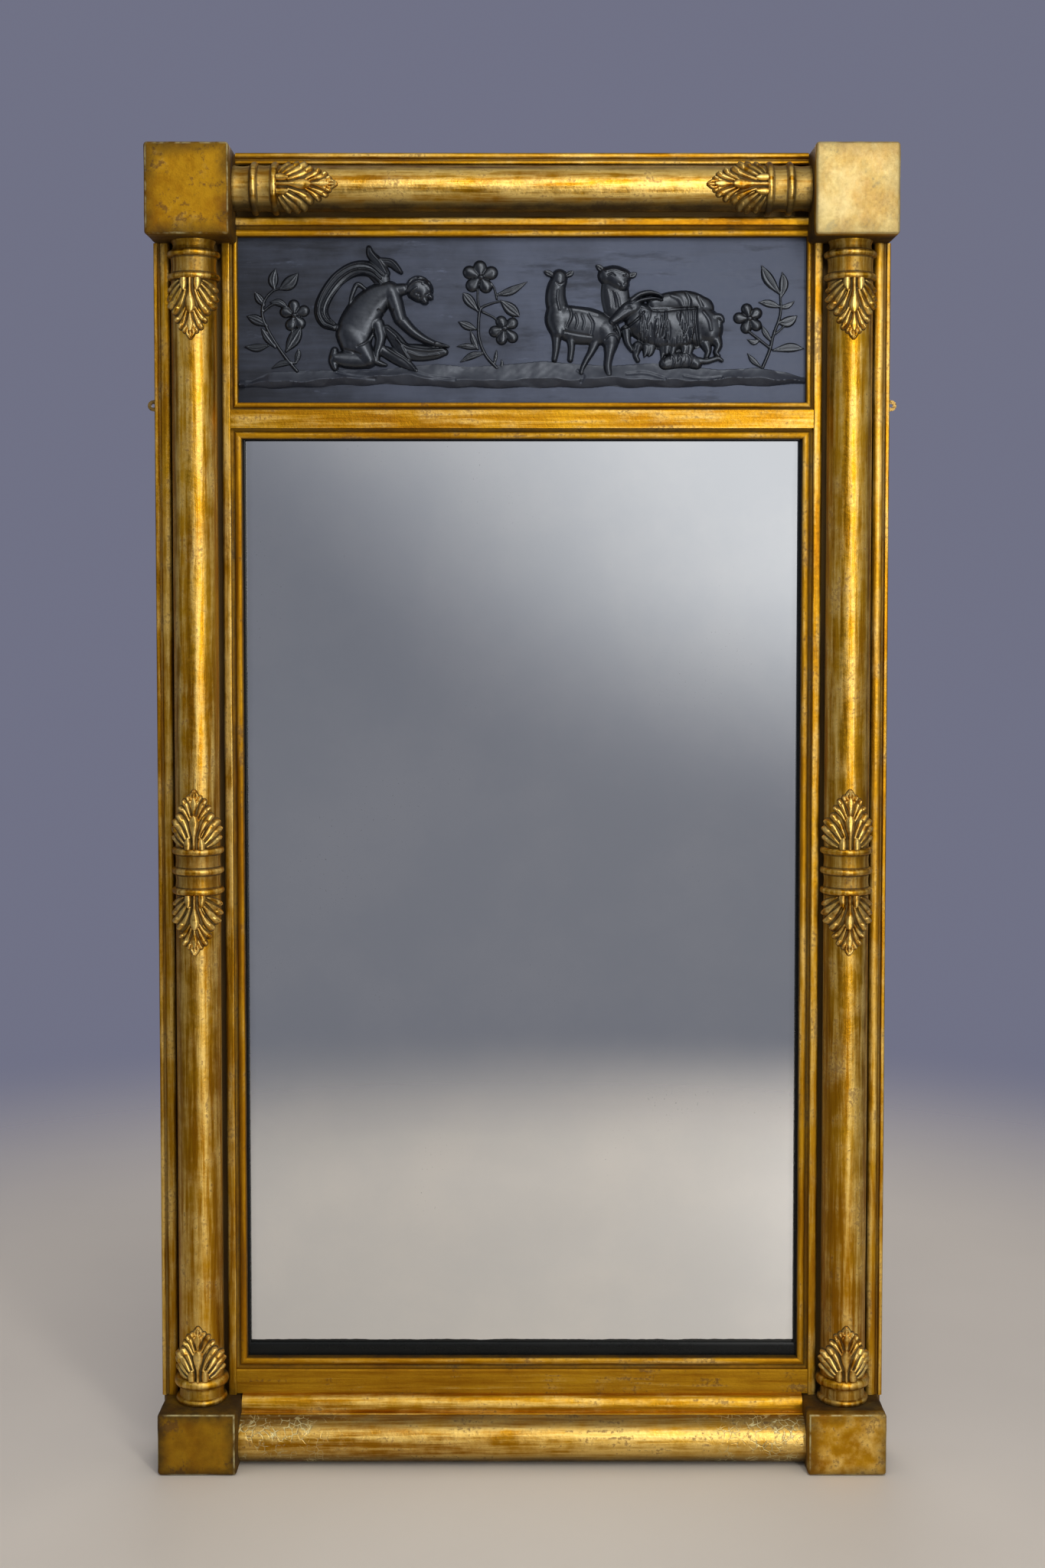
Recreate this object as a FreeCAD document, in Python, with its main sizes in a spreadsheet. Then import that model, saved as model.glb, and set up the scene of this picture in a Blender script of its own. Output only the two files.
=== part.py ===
import FreeCAD, Part
import os
import re
from math import atan2, cos, pi, sin, sqrt

import Sketcher
from FreeCAD import Matrix, Placement, Rotation, Vector

# A tall giltwood pier mirror: columns and corner blocks planted on a jointed pine carcass, a black
# relief frieze above the looking glass. Front is -Y, the floor is z = 0, right is +X. Millimetres.

driving_sizes = {
    # the whole frame
    "frame_width": 871,
    "frame_height": 1562,
    "carcass_thickness": 30,
    "moulding_height": 14,
    "block_projection": 60,
    # carcass boards and their mortise and tenon joints
    "stile_width": 90,
    "top_rail_height": 85,
    "frieze_height": 216.8,
    "frieze_rail_height": 21.4,
    "bottom_rail_height": 104.5,
    "tenon_length": 35,
    "tenon_thickness": 10,
    "tenon_setback": 10,
    "tenon_shoulder": 4,
    "joint_clearance": 0.2,
    "cut_overrun": 5,
    # corner blocks
    "block_overlap": 7.5,
    "top_block_width": 97.5,
    "top_block_height": 106,
    "bottom_block_width": 93.5,
    "bottom_block_height": 73.5,
    "block_edge_radius": 4,
    # planted mouldings
    "outer_moulding_width": 19.5,
    "top_moulding_width": 14.5,
    "inner_moulding_width": 10.5,
    "outer_fillet_width": 6.5,
    "top_fillet_width": 4,
    "quirk_width": 1.5,
    "quirk_depth": 3,
    "band_roundover": 7,
    # foot of the frame
    "half_round_radius": 27.5,
    "half_round_lift": 1.5,
    "half_round_projection": 45,
    "bead_height": 19.2,
    "bead_setout": 6,
    "bead_fillet_height": 3,
    "bead_fillet_projection": 18,
    # turned columns
    "column_standoff": 24,
    "shaft_clearance": 3.5,
    "ring_overhang": 1.5,
    "ring_thickness": 6.6,
    "collar_step": 2,
    "neck_length": 16,
    "collar_length": 26.7,
    "middle_ring_height": 714.2,
    "middle_ring_pitch": 23.8,
    "foot_ring_thickness": 7.5,
    "foot_roll_thickness": 12,
    "foot_pitch": 21.7,
    "rail_neck_length": 25,
    "rail_collar_length": 24,
    "spigot_radius": 9,
    "spigot_length": 18,
    # carved leaves
    "leaf_length": 71,
    "foot_leaf_length": 66,
    "leaf_overhang": 3,
    "leaf_rise": 3,
    "midrib_rise": 5,
    "leaf_seat_gap": 0.1,
    # sight mouldings and slips
    "sight_drop": 4,
    "sight_thickness": 12,
    "sight_roundover": 3.5,
    "plate_sight_width": 12,
    "frieze_sight_top": 12,
    "frieze_sight_side": 8,
    "frieze_sight_bottom": 9.5,
    "slip_thickness": 5,
    "slip_side_reveal": 3.5,
    "slip_top_reveal": 2,
    "slip_bottom_reveal": 20,
    # plate, frieze panel and backs
    "plate_thickness": 4,
    "plate_clearance": 2.5,
    "panel_thickness": 10,
    "panel_clearance": 0.5,
    "relief_rise": 10,
    "backboard_thickness": 8,
    "rebate_width": 10,
    "board_gap": 1,
    "wedge_length": 60,
    "wedge_width": 12,
    # brass wall plates
    "wall_plate_height": 50,
    "wall_plate_seat": 28,
    "wall_plate_thickness": 2.5,
    "wall_plate_z": 1269,
    "ear_height": 20,
    "ear_reach": 9,
    "ear_radius": 6.5,
    "ear_hole_radius": 2.25,
    # countersunk screws
    "block_screw_length": 62,
    "block_screw_radius": 2.5,
    "block_screw_head_radius": 5,
    "block_screw_head_height": 3,
    "board_screw_length": 22,
    "board_screw_radius": 2,
    "board_screw_head_radius": 4,
    "board_screw_head_height": 2.5,
    "brass_screw_length": 18,
    "brass_screw_radius": 1.75,
    "brass_screw_head_radius": 3.5,
    "brass_screw_head_height": 1.9,
}

worked_out_sizes = {
    # planes from back to front
    "depth": "=carcass_thickness + moulding_height + block_projection",
    "back_y": "=depth / 2",
    "carcass_y": "=back_y - carcass_thickness",
    "face_y": "=carcass_y - moulding_height",
    "sight_y": "=face_y + sight_drop",
    "sight_back_y": "=sight_y + sight_thickness",
    "slip_back_y": "=sight_back_y + slip_thickness",
    "plate_back_y": "=slip_back_y + plate_thickness",
    "rebate_y": "=back_y - backboard_thickness",
    "tenon_y": "=carcass_y + tenon_setback",
    "column_y": "=carcass_y - column_standoff",
    # places across the frame, right of the middle
    "half_width": "=frame_width / 2",
    "inner_x": "=half_width - stile_width",
    "block_x": "=inner_x - block_overlap",
    "inner_moulding_x": "=inner_x + inner_moulding_width",
    "outer_moulding_x": "=half_width - outer_moulding_width",
    "column_x": "=(inner_moulding_x + outer_moulding_x) / 2",
    "ear_x": "=half_width + ear_reach",
    "wall_seat_x": "=half_width - wall_plate_seat",
    # heights above the floor
    "top_rail_z": "=frame_height - top_rail_height",
    "frieze_rail_top": "=top_rail_z - frieze_height",
    "frieze_rail_z": "=frieze_rail_top - frieze_rail_height",
    "frieze_rail_middle": "=frieze_rail_z + frieze_rail_height / 2",
    "top_block_z": "=frame_height - top_block_height",
    "top_moulding_z": "=frame_height - top_moulding_width",
    "top_inner_z": "=top_rail_z + inner_moulding_width",
    "top_column_z": "=(top_moulding_z + top_inner_z) / 2",
    "half_round_top": "=half_round_lift + 2 * half_round_radius",
    "half_round_y": "=face_y - half_round_projection + half_round_radius",
    "band_z": "=half_round_top + bead_height",
    "rebate_z": "=bottom_rail_height - rebate_width",
    "rebate_top": "=top_rail_z + rebate_width",
    "plate_opening": "=frieze_rail_z - bottom_rail_height",
    # turned radii follow the channel that a column lies in
    "channel": "=outer_moulding_x - inner_moulding_x",
    "shaft_radius": "=channel / 2 - shaft_clearance",
    "ring_reach": "=channel / 2 + ring_overhang",
    "rail_channel": "=top_moulding_z - top_inner_z",
    "rail_shaft_radius": "=rail_channel / 2 - shaft_clearance",
    "rail_ring_reach": "=rail_channel / 2 + ring_overhang",
    # ring centres
    "foot_ring_z": "=bottom_block_height + foot_ring_thickness / 2",
    "foot_roll_z": "=foot_ring_z + foot_pitch",
    "upper_ring_z": "=top_block_z - neck_length",
    "lower_ring_z": "=upper_ring_z - collar_length",
    "rail_ring_x": "=block_x - rail_neck_length",
    "rail_inner_ring_x": "=rail_ring_x - rail_collar_length",
}

document = FreeCAD.newDocument("giltwood_mirror")
sheet = document.addObject("Spreadsheet::Sheet", "Sizes")
for row, (alias, value) in enumerate({**driving_sizes, **worked_out_sizes}.items(), 1):
    sheet.set(f"A{row}", alias)
    sheet.set(f"B{row}", str(value))
    sheet.setAlias(f"B{row}", alias)
document.recompute()

nodes = []
hair = Part.Precision.approximation()
start_point, end_point, centre_point = 1, 2, 3
along_x = Rotation(Vector(0, 1, 0), 90)
into_back = Rotation(Vector(1, 0, 0), 90)
upright = Rotation()


def size(alias):
    return float(sheet.get(alias))


def formula(text):
    return re.sub(r"[a-z_]+", lambda word: "Sizes." + word.group(0), text)


def amount(text):
    return float(sheet.evalExpression(formula(text)))


def bind(item, prop, text):
    item.setExpression(prop, formula(text))


def node(item, label):
    item.Label = label
    nodes.append(item)
    return item


def place(item, turn, x, y, z):
    item.Placement = Placement(Vector(), turn)
    bind(item, "Placement.Base.x", x)
    bind(item, "Placement.Base.y", y)
    bind(item, "Placement.Base.z", z)
    return item


def board(x, y, z):
    item = document.addObject("Part::Box", "board")
    for prop, (low, high) in zip(("Length", "Width", "Height"), (x, y, z)):
        bind(item, prop, f"({high}) - ({low})")
    return place(item, upright, x[0], y[0], z[0])


def rod(radius, length, turn, x, y, z):
    item = document.addObject("Part::Cylinder", "rod")
    bind(item, "Radius", radius)
    bind(item, "Height", length)
    return place(item, turn, x, y, z)


def ring(reach, thickness, turn, x, y, z):
    item = document.addObject("Part::Torus", "ring")
    bind(item, "Radius1", f"{reach} - {thickness} / 2")
    bind(item, "Radius2", f"{thickness} / 2")
    return place(item, turn, x, y, z)


def joined(items):
    item = document.addObject("Part::MultiFuse", "joined")
    item.Shapes = items
    return item


def group(items):
    item = document.addObject("Part::Compound", "group")
    item.Links = items
    return item


def cut(base, tools):
    item = document.addObject("Part::Cut", "cut")
    item.Base = base
    item.Tool = tools[0] if len(tools) == 1 else group(tools)
    return item


def mirrored(item):
    twin = document.addObject("Part::Mirroring", "twin")
    twin.Source = item
    twin.Normal = Vector(1, 0, 0)
    return twin


def pair(item, name):
    node(item, f"{name}_right")
    node(mirrored(item), f"{name}_left")


def arc_about(centre, start, end):
    angles = [atan2(point.y - centre.y, point.x - centre.x) for point in (start, end)]
    circle = Part.Circle(centre, Vector(0, 0, 1), (start - centre).Length)
    return Part.ArcOfCircle(circle, *angles)


# An outline is a list of corners. A corner that also gives a centre starts an anticlockwise arc.
def drawn(body, role, outline):
    sketch = body.newObject("Sketcher::SketchObject", "outline")
    plane = next(item for item in body.Origin.OriginFeatures if item.Role == role)
    sketch.AttachmentSupport = [(plane, "")]
    sketch.MapMode = "FlatFace"

    def hold(kind, edge, point, text):
        held = sketch.addConstraint(Sketcher.Constraint(kind, -1, 1, edge, point, amount(text)))
        bind(sketch, f"Constraints[{held}]", text)

    def spot(texts):
        return Vector(*[amount(text) for text in texts], 0)

    for index, corner in enumerate(outline):
        start = spot(corner[:2])
        end = spot(outline[(index + 1) % len(outline)][:2])
        centre = corner[2:]
        straight = Part.LineSegment(start, end)
        sketch.addGeometry(arc_about(spot(centre), start, end) if centre else straight)
    for index, corner in enumerate(outline):
        following = (index + 1) % len(outline)
        sketch.addConstraint(Sketcher.Constraint("Coincident", index, end_point, following, start_point))
        hold("DistanceX", index, start_point, corner[0])
        hold("DistanceY", index, start_point, corner[1])
        if corner[2:]:
            hold("DistanceX", index, centre_point, corner[2])
    return sketch


def padded(role, outline, length, x="0", y="0", z="0", midplane=False):
    body = document.addObject("PartDesign::Body", "body")
    pad = body.newObject("PartDesign::Pad", "pad")
    pad.Profile = drawn(body, role, outline)
    pad.Midplane = midplane
    bind(pad, "Length", length)
    document.recompute()
    place(body, upright, x, y, z)
    return body


def rounded(body, radius, chosen):
    pad = body.Tip
    names = [f"Edge{index}" for index, edge in enumerate(pad.Shape.Edges, 1) if chosen(edge)]
    fillet = body.newObject("PartDesign::Fillet", "rounding")
    fillet.Base = (pad, names)
    bind(fillet, "Radius", radius)
    return body


def screw(kind, x, z):
    head = document.addObject("Part::Cone", "head")
    bind(head, "Radius1", f"{kind}_head_radius")
    bind(head, "Radius2", f"{kind}_radius")
    bind(head, "Height", f"{kind}_head_height")
    place(head, into_back, x, "back_y", z)
    shank = rod(f"{kind}_radius", f"{kind}_length", into_back, x, "back_y", z)
    return joined([head, shank])


# Screws, all driven from behind: two in each block, a row round each backboard, two in each ear plate
block_screw_x = "half_width - stile_width / 3"
block_screw_heights = [
    "bottom_block_height / 4",
    "bottom_block_height / 2",
    "top_block_z + top_block_height * 2 / 5",
    "top_block_z + top_block_height * 3 / 4",
]
stile_screw_x = "inner_x + rebate_width / 2"
stile_screw_heights = [
    "bottom_rail_height + plate_opening / 12",
    "bottom_rail_height + plate_opening / 2",
    "bottom_rail_height + plate_opening * 11 / 12",
    "frieze_rail_top + frieze_height / 2",
]
rail_screw_x = "inner_x / 2"
rail_screw_heights = [
    "bottom_rail_height - rebate_width / 2",
    "frieze_rail_z + frieze_rail_height / 4",
    "frieze_rail_z + frieze_rail_height * 3 / 4",
    "top_rail_z + rebate_width / 2",
]
steel = [screw("block_screw", block_screw_x, height) for height in block_screw_heights]
steel += [screw("board_screw", stile_screw_x, height) for height in stile_screw_heights]
steel += [screw("board_screw", rail_screw_x, height) for height in rail_screw_heights]
right_steel = group(steel)
steel_screws = node(group([right_steel, mirrored(right_steel)]), "steel_screws")

brass_screw_x = "half_width - wall_plate_seat / 2"
brass_screw_heights = ["wall_plate_z - wall_plate_height / 3", "wall_plate_z + wall_plate_height / 3"]
right_brass = group([screw("brass_screw", brass_screw_x, height) for height in brass_screw_heights])
node(group([right_brass, mirrored(right_brass)]), "brass_screws")

# Carcass: two stiles, three rails with a tenon at each end
carcass_depth = ("carcass_y", "back_y")
rail_span = ("-inner_x", "inner_x")
rail_heights = {
    "top_rail": ("top_rail_z", "frame_height"),
    "frieze_rail": ("frieze_rail_z", "frieze_rail_top"),
    "bottom_rail": ("0", "bottom_rail_height"),
}
rail_depths = {"frieze_rail": ("face_y", "rebate_y")}
rail_rebates = {
    "top_rail": ("top_rail_z - cut_overrun", "rebate_top"),
    "bottom_rail": ("rebate_z", "bottom_rail_height + cut_overrun"),
}
rebate_span = ("-inner_x - cut_overrun", "inner_x + cut_overrun")
rebate_depth = ("rebate_y", "back_y + cut_overrun")
mortises = []
for label, (low, high) in rail_heights.items():
    tenon = board(
        ("-inner_x - tenon_length", "inner_x + tenon_length"),
        ("tenon_y", "tenon_y + tenon_thickness"),
        (f"{low} + tenon_shoulder", f"{high} - tenon_shoulder"),
    )
    rail = joined([board(rail_span, rail_depths.get(label, carcass_depth), (low, high)), tenon])
    cuts = [steel_screws]
    if label in rail_rebates:
        cuts.append(board(rebate_span, rebate_depth, rail_rebates[label]))
    node(cut(rail, cuts), label)
    mortises.append(
        board(
            ("inner_x - cut_overrun", "inner_x + tenon_length + joint_clearance"),
            ("tenon_y - joint_clearance", "tenon_y + tenon_thickness + joint_clearance"),
            (f"{low} + tenon_shoulder - joint_clearance", f"{high} - tenon_shoulder + joint_clearance"),
        )
    )

stile_rebate_span = ("inner_x - cut_overrun", "inner_x + rebate_width")
stile_rebate = board(stile_rebate_span, rebate_depth, ("rebate_z", "rebate_top"))
wall_plate_recess = board(
    ("wall_seat_x", "half_width + cut_overrun"),
    ("back_y - wall_plate_thickness", "back_y + cut_overrun"),
    ("wall_plate_z - wall_plate_height / 2", "wall_plate_z + wall_plate_height / 2"),
)
stile = board(("inner_x", "half_width"), carcass_depth, ("0", "frame_height"))
pair(cut(stile, mortises + [stile_rebate, wall_plate_recess, right_steel, right_brass]), "stile")

# Corner blocks, planted on the carcass, with sockets for the pins of the columns
block_depth = "moulding_height + block_projection"
socket_radius = "spigot_radius + joint_clearance"
socket_length = "spigot_length + joint_clearance"


def meets_front(edge):
    behind_front = min(corner.Point.y for corner in edge.Vertexes) + amount(block_depth)
    return behind_front < hair


def corner_block(width, low, high, cuts):
    right_x = f"block_x + {width}"
    outline = [("block_x", low), (right_x, low), (right_x, high), ("block_x", high)]
    block = padded("XZ_Plane", outline, block_depth, y="carcass_y")
    return cut(rounded(block, "block_edge_radius", meets_front), cuts + [right_steel])


foot_socket_z = "bottom_block_height - spigot_length - joint_clearance"
foot_socket = rod(socket_radius, socket_length, upright, "column_x", "column_y", foot_socket_z)
head_socket = rod(socket_radius, socket_length, upright, "column_x", "column_y", "top_block_z")
rail_socket = rod(socket_radius, socket_length, along_x, "block_x", "column_y", "top_column_z")
sight_notch = board(
    ("block_x - cut_overrun", "inner_x"),
    ("face_y", "carcass_y + cut_overrun"),
    ("top_block_z - cut_overrun", "top_rail_z"),
)
bottom_block = corner_block("bottom_block_width", "0", "bottom_block_height", [foot_socket])
pair(bottom_block, "bottom_block")
top_cuts = [head_socket, rail_socket, sight_notch]
pair(corner_block("top_block_width", "top_block_z", "frame_height", top_cuts), "top_block")

# Mouldings planted beside the columns: a rounded band each side, the outer one with quirk and fillet
moulding_run = "top_block_z - bottom_block_height"
inner_round = ("inner_moulding_x - band_roundover", "face_y + band_roundover")
outer_round = ("outer_moulding_x + band_roundover", "face_y + band_roundover")
inner_profile = [
    ("inner_x", "carcass_y"),
    ("inner_x", "face_y"),
    ("inner_moulding_x - band_roundover", "face_y", *inner_round),
    ("inner_moulding_x", "face_y + band_roundover"),
    ("inner_moulding_x", "carcass_y"),
]
outer_profile = [
    ("outer_moulding_x", "carcass_y"),
    ("outer_moulding_x", "face_y + band_roundover", *outer_round),
    ("outer_moulding_x + band_roundover", "face_y"),
    ("half_width - outer_fillet_width - quirk_width", "face_y"),
    ("half_width - outer_fillet_width - quirk_width", "face_y + quirk_depth"),
    ("half_width - outer_fillet_width", "face_y + quirk_depth"),
    ("half_width - outer_fillet_width", "face_y"),
    ("half_width", "face_y"),
    ("half_width", "carcass_y"),
]
pair(padded("XY_Plane", inner_profile, moulding_run, z="bottom_block_height"), "inner_moulding")
pair(padded("XY_Plane", outer_profile, moulding_run, z="bottom_block_height"), "outer_moulding")

top_inner_round = ("face_y + band_roundover", "top_inner_z - band_roundover")
top_outer_round = ("face_y + band_roundover", "top_moulding_z + band_roundover")
top_inner_profile = [
    ("carcass_y", "top_rail_z"),
    ("carcass_y", "top_inner_z"),
    ("face_y + band_roundover", "top_inner_z", *top_inner_round),
    ("face_y", "top_inner_z - band_roundover"),
    ("face_y", "top_rail_z"),
]
top_outer_profile = [
    ("carcass_y", "top_moulding_z"),
    ("carcass_y", "frame_height"),
    ("face_y", "frame_height"),
    ("face_y", "frame_height - top_fillet_width"),
    ("face_y + quirk_depth", "frame_height - top_fillet_width"),
    ("face_y + quirk_depth", "frame_height - top_fillet_width - quirk_width"),
    ("face_y", "frame_height - top_fillet_width - quirk_width"),
    ("face_y", "top_moulding_z + band_roundover", *top_outer_round),
    ("face_y + band_roundover", "top_moulding_z"),
]
between_blocks = "2 * block_x"
top_profiles = {"top_inner_moulding": top_inner_profile, "top_outer_moulding": top_outer_profile}
for label, profile in top_profiles.items():
    node(padded("YZ_Plane", profile, between_blocks, midplane=True), label)

# Foot of the frame: flat band, bead with fillet, half round
bottom_band = board(rail_span, ("face_y", "carcass_y"), ("band_z", "bottom_rail_height"))
node(bottom_band, "bottom_band")
bead_centre = ("face_y - bead_setout", "half_round_top + (bead_height + bead_fillet_height) / 2")
half_round_centre = ("half_round_y", "half_round_lift + half_round_radius")
bead_profile = [
    ("carcass_y", "half_round_top"),
    ("carcass_y", "band_z"),
    ("face_y - bead_setout", "band_z", *bead_centre),
    ("face_y - bead_setout", "half_round_top + bead_fillet_height"),
    ("face_y - bead_fillet_projection", "half_round_top + bead_fillet_height"),
    ("face_y - bead_fillet_projection", "half_round_top"),
]
half_round_profile = [
    ("carcass_y", "half_round_lift"),
    ("carcass_y", "half_round_top"),
    ("half_round_y", "half_round_top", *half_round_centre),
    ("half_round_y", "half_round_lift"),
]
foot_profiles = {"bottom_bead": bead_profile, "bottom_half_round": half_round_profile}
for label, profile in foot_profiles.items():
    node(padded("YZ_Plane", profile, between_blocks, midplane=True), label)


# Turned columns: shaft, rings, thicker collars between rings, a pin at each end, a flat glued back
def side_rod(radius, low, high):
    return rod(radius, f"{high} - ({low})", upright, "column_x", "column_y", low)


def side_ring(height, thickness="ring_thickness"):
    return ring("ring_reach", thickness, upright, "column_x", "column_y", height)


middle_rings = [
    "middle_ring_height - middle_ring_pitch",
    "middle_ring_height",
    "middle_ring_height + middle_ring_pitch",
]
collar_radius = "shaft_radius + collar_step"
turning = [
    side_rod("shaft_radius", "bottom_block_height", "top_block_z"),
    side_rod("spigot_radius", "bottom_block_height - spigot_length", "top_block_z + spigot_length"),
    side_rod(collar_radius, middle_rings[0], middle_rings[2]),
    side_rod(collar_radius, "lower_ring_z", "upper_ring_z"),
    side_ring("foot_ring_z", "foot_ring_thickness"),
    side_ring("foot_roll_z", "foot_roll_thickness"),
]
turning += [side_ring(height) for height in middle_rings + ["lower_ring_z", "upper_ring_z"]]
column_back = board(
    ("column_x - ring_reach - cut_overrun", "column_x + ring_reach + cut_overrun"),
    ("carcass_y", "carcass_y + ring_reach"),
    ("0", "frame_height"),
)
pair(cut(joined(turning), [column_back]), "column")


def rail_rod(radius, low, high):
    return rod(radius, f"{high} - ({low})", along_x, low, "column_y", "top_column_z")


def rail_ring(x):
    return ring("rail_ring_reach", "ring_thickness", along_x, x, "column_y", "top_column_z")


rail_collar_radius = "rail_shaft_radius + collar_step"
turning = [
    rail_rod("rail_shaft_radius", "-block_x", "block_x"),
    rail_rod("spigot_radius", "-block_x - spigot_length", "block_x + spigot_length"),
    rail_rod(rail_collar_radius, "rail_inner_ring_x", "rail_ring_x"),
    rail_rod(rail_collar_radius, "-rail_ring_x", "-rail_inner_ring_x"),
]
for side in ("", "-"):
    turning += [rail_ring(f"{side}rail_ring_x"), rail_ring(f"{side}rail_inner_ring_x")]
top_column_back = board(
    ("-half_width", "half_width"),
    ("carcass_y", "carcass_y + rail_ring_reach"),
    ("top_column_z - rail_ring_reach - cut_overrun", "top_column_z + rail_ring_reach + cut_overrun"),
)
node(cut(joined(turning), [top_column_back]), "top_column")

# Carved acanthus sprays: lobed outlines bent round a shaft, with a raised drop along the middle.
# A lobe runs from one notch to the next over its tip, each given along the leaf and across it.
lobe_shares = [
    ((0, 0.6), (0.08, 0.78), (0.16, 0.7)),
    ((0.16, 0.7), (0.29, 1), (0.42, 0.7)),
    ((0.42, 0.7), (0.54, 0.82), (0.64, 0.48)),
    ((0.64, 0.48), (0.75, 0.54), (0.82, 0.28)),
    ((0.82, 0.28), (0.94, 0.2), (1, 0)),
]
midrib_shares = [((0, 0.14), (0.3, 0.12), (0.42, 0.2)), ((0.42, 0.2), (0.54, 0.22), (0.6, 0))]


def lobed_prism(shares, length, half_width, reach):
    def corner(share, side):
        return Vector(side * share[1] * half_width, 0, share[0] * length)

    edges = []
    for side in (1, -1):
        for lobe in shares:
            edges.append(Part.Arc(*[corner(share, side) for share in lobe]).toShape())
    edges.append(Part.LineSegment(corner(shares[0][0], 1), corner(shares[0][0], -1)).toShape())
    outline = Part.Wire(Part.__sortEdges__(edges))
    return Part.Face(outline).extrude(Vector(0, -reach, 0))


def leaf_shape(radius_alias, length_alias):
    seat = size(radius_alias) + size("leaf_seat_gap")
    length = size(length_alias)
    half_width = size(radius_alias) + size("leaf_overhang")
    layers = []
    for shares, rise in ((lobe_shares, "leaf_rise"), (midrib_shares, "midrib_rise")):
        reach = seat + size(rise)
        skin = Part.makeCylinder(reach, length).cut(Part.makeCylinder(seat, length))
        skin.rotate(Vector(), Vector(0, 0, 1), 90)
        layers.append(skin.common(lobed_prism(shares, length, half_width, reach)))
    return layers[0].fuse(layers[1]).removeSplitter()


def carved_leaf(label, shape, turn, x, y, z):
    item = document.addObject("Part::Feature", "leaf")
    item.Shape = shape
    place(item, turn, x, y, z)
    return node(item, label)


side_leaf = leaf_shape("shaft_radius", "leaf_length")
foot_leaf = leaf_shape("shaft_radius", "foot_leaf_length")
rail_leaf = leaf_shape("rail_shaft_radius", "leaf_length")
hanging = Rotation(Vector(0, 1, 0), 180)
half_ring = "ring_thickness / 2"
side_leaves = {
    "top_leaf": (side_leaf, hanging, f"lower_ring_z - {half_ring}"),
    "middle_upper_leaf": (side_leaf, upright, f"{middle_rings[2]} + {half_ring}"),
    "middle_lower_leaf": (side_leaf, hanging, f"{middle_rings[0]} - {half_ring}"),
    "foot_leaf": (foot_leaf, upright, "foot_roll_z + foot_roll_thickness / 2"),
}
for side, x in (("left", "-column_x"), ("right", "column_x")):
    for label, (shape, turn, height) in side_leaves.items():
        carved_leaf(f"{label}_{side}", shape, turn, x, "column_y", height)
to_left = Rotation(Vector(0, 1, 0), -90)
rail_leaf_x = f"rail_inner_ring_x - {half_ring}"
carved_leaf("rail_leaf_right", rail_leaf, to_left, rail_leaf_x, "column_y", "top_column_z")
carved_leaf("rail_leaf_left", rail_leaf, along_x, f"-({rail_leaf_x})", "column_y", "top_column_z")


# Mitred strips round an opening: gilt sight mouldings with rounded long edges, plain black slips
def is_long_front_edge(edge):
    start, end = [corner.Point for corner in edge.Vertexes]
    behind_front = max(start.y, end.y) + size("sight_thickness")
    aslant = min(abs(end.x - start.x), abs(end.z - start.z))
    return max(behind_front, aslant) < hair


def surround(name, opening, widths, thickness, back, rounding=None):
    right, low, high = opening
    side, bottom, top = widths
    left = f"-{right}"
    inner_right = f"({right} - ({side}))"
    inner_left = f"-{inner_right}"
    inner_low = f"{low} + {bottom}"
    inner_high = f"{high} - ({top})"
    outlines = {
        "right": [(right, low), (right, high), (inner_right, inner_high), (inner_right, inner_low)],
        "bottom": [(left, low), (right, low), (inner_right, inner_low), (inner_left, inner_low)],
        "top": [(left, high), (right, high), (inner_right, inner_high), (inner_left, inner_high)],
    }
    for side_name, outline in outlines.items():
        strip = padded("XZ_Plane", outline, thickness, y=back)
        if rounding:
            rounded(strip, rounding, is_long_front_edge)
        node(strip, f"{name}_{side_name}")
        if side_name == "right":
            node(mirrored(strip), f"{name}_left")


frieze_opening = ("inner_x", "frieze_rail_top", "top_rail_z")
glass_opening = ("inner_x", "bottom_rail_height", "frieze_rail_z")
frieze_widths = ("frieze_sight_side", "frieze_sight_bottom", "frieze_sight_top")
plate_widths = ("plate_sight_width",) * len(frieze_widths)
slip_reveals = ("slip_side_reveal", "slip_bottom_reveal", "slip_top_reveal")
slip_widths = [f"plate_sight_width + {reveal}" for reveal in slip_reveals]
sight_section = ("sight_thickness", "sight_back_y", "sight_roundover")
surround("frieze_sight", frieze_opening, frieze_widths, *sight_section)
surround("plate_sight", glass_opening, plate_widths, *sight_section)
surround("slip", glass_opening, slip_widths, "slip_thickness", "slip_back_y")

# Looking glass, glue blocks behind it, backboards
plate_half_width = "inner_x - plate_clearance"
mirror_plate = board(
    (f"-({plate_half_width})", plate_half_width),
    ("slip_back_y", "plate_back_y"),
    ("bottom_rail_height + plate_clearance", "frieze_rail_z - plate_clearance"),
)
node(mirror_plate, "mirror_plate")

wedge_depth = ("plate_back_y", "rebate_y")
wedges = []
for wedge_z in ("plate_opening / 8", "plate_opening / 2", "plate_opening * 7 / 8"):
    low = f"bottom_rail_height + {wedge_z} - wedge_length / 2"
    wedge_height = (low, f"{low} + wedge_length")
    wedges.append(board(("inner_x - wedge_width", "inner_x"), wedge_depth, wedge_height))
end_wedge_x = ("inner_x / 2", "inner_x / 2 + wedge_length")
wedges.append(board(end_wedge_x, wedge_depth, ("bottom_rail_height", "bottom_rail_height + wedge_width")))
wedges.append(board(end_wedge_x, wedge_depth, ("frieze_rail_z - wedge_width", "frieze_rail_z")))
right_wedges = group(wedges)
node(group([right_wedges, mirrored(right_wedges)]), "plate_wedges")

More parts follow.
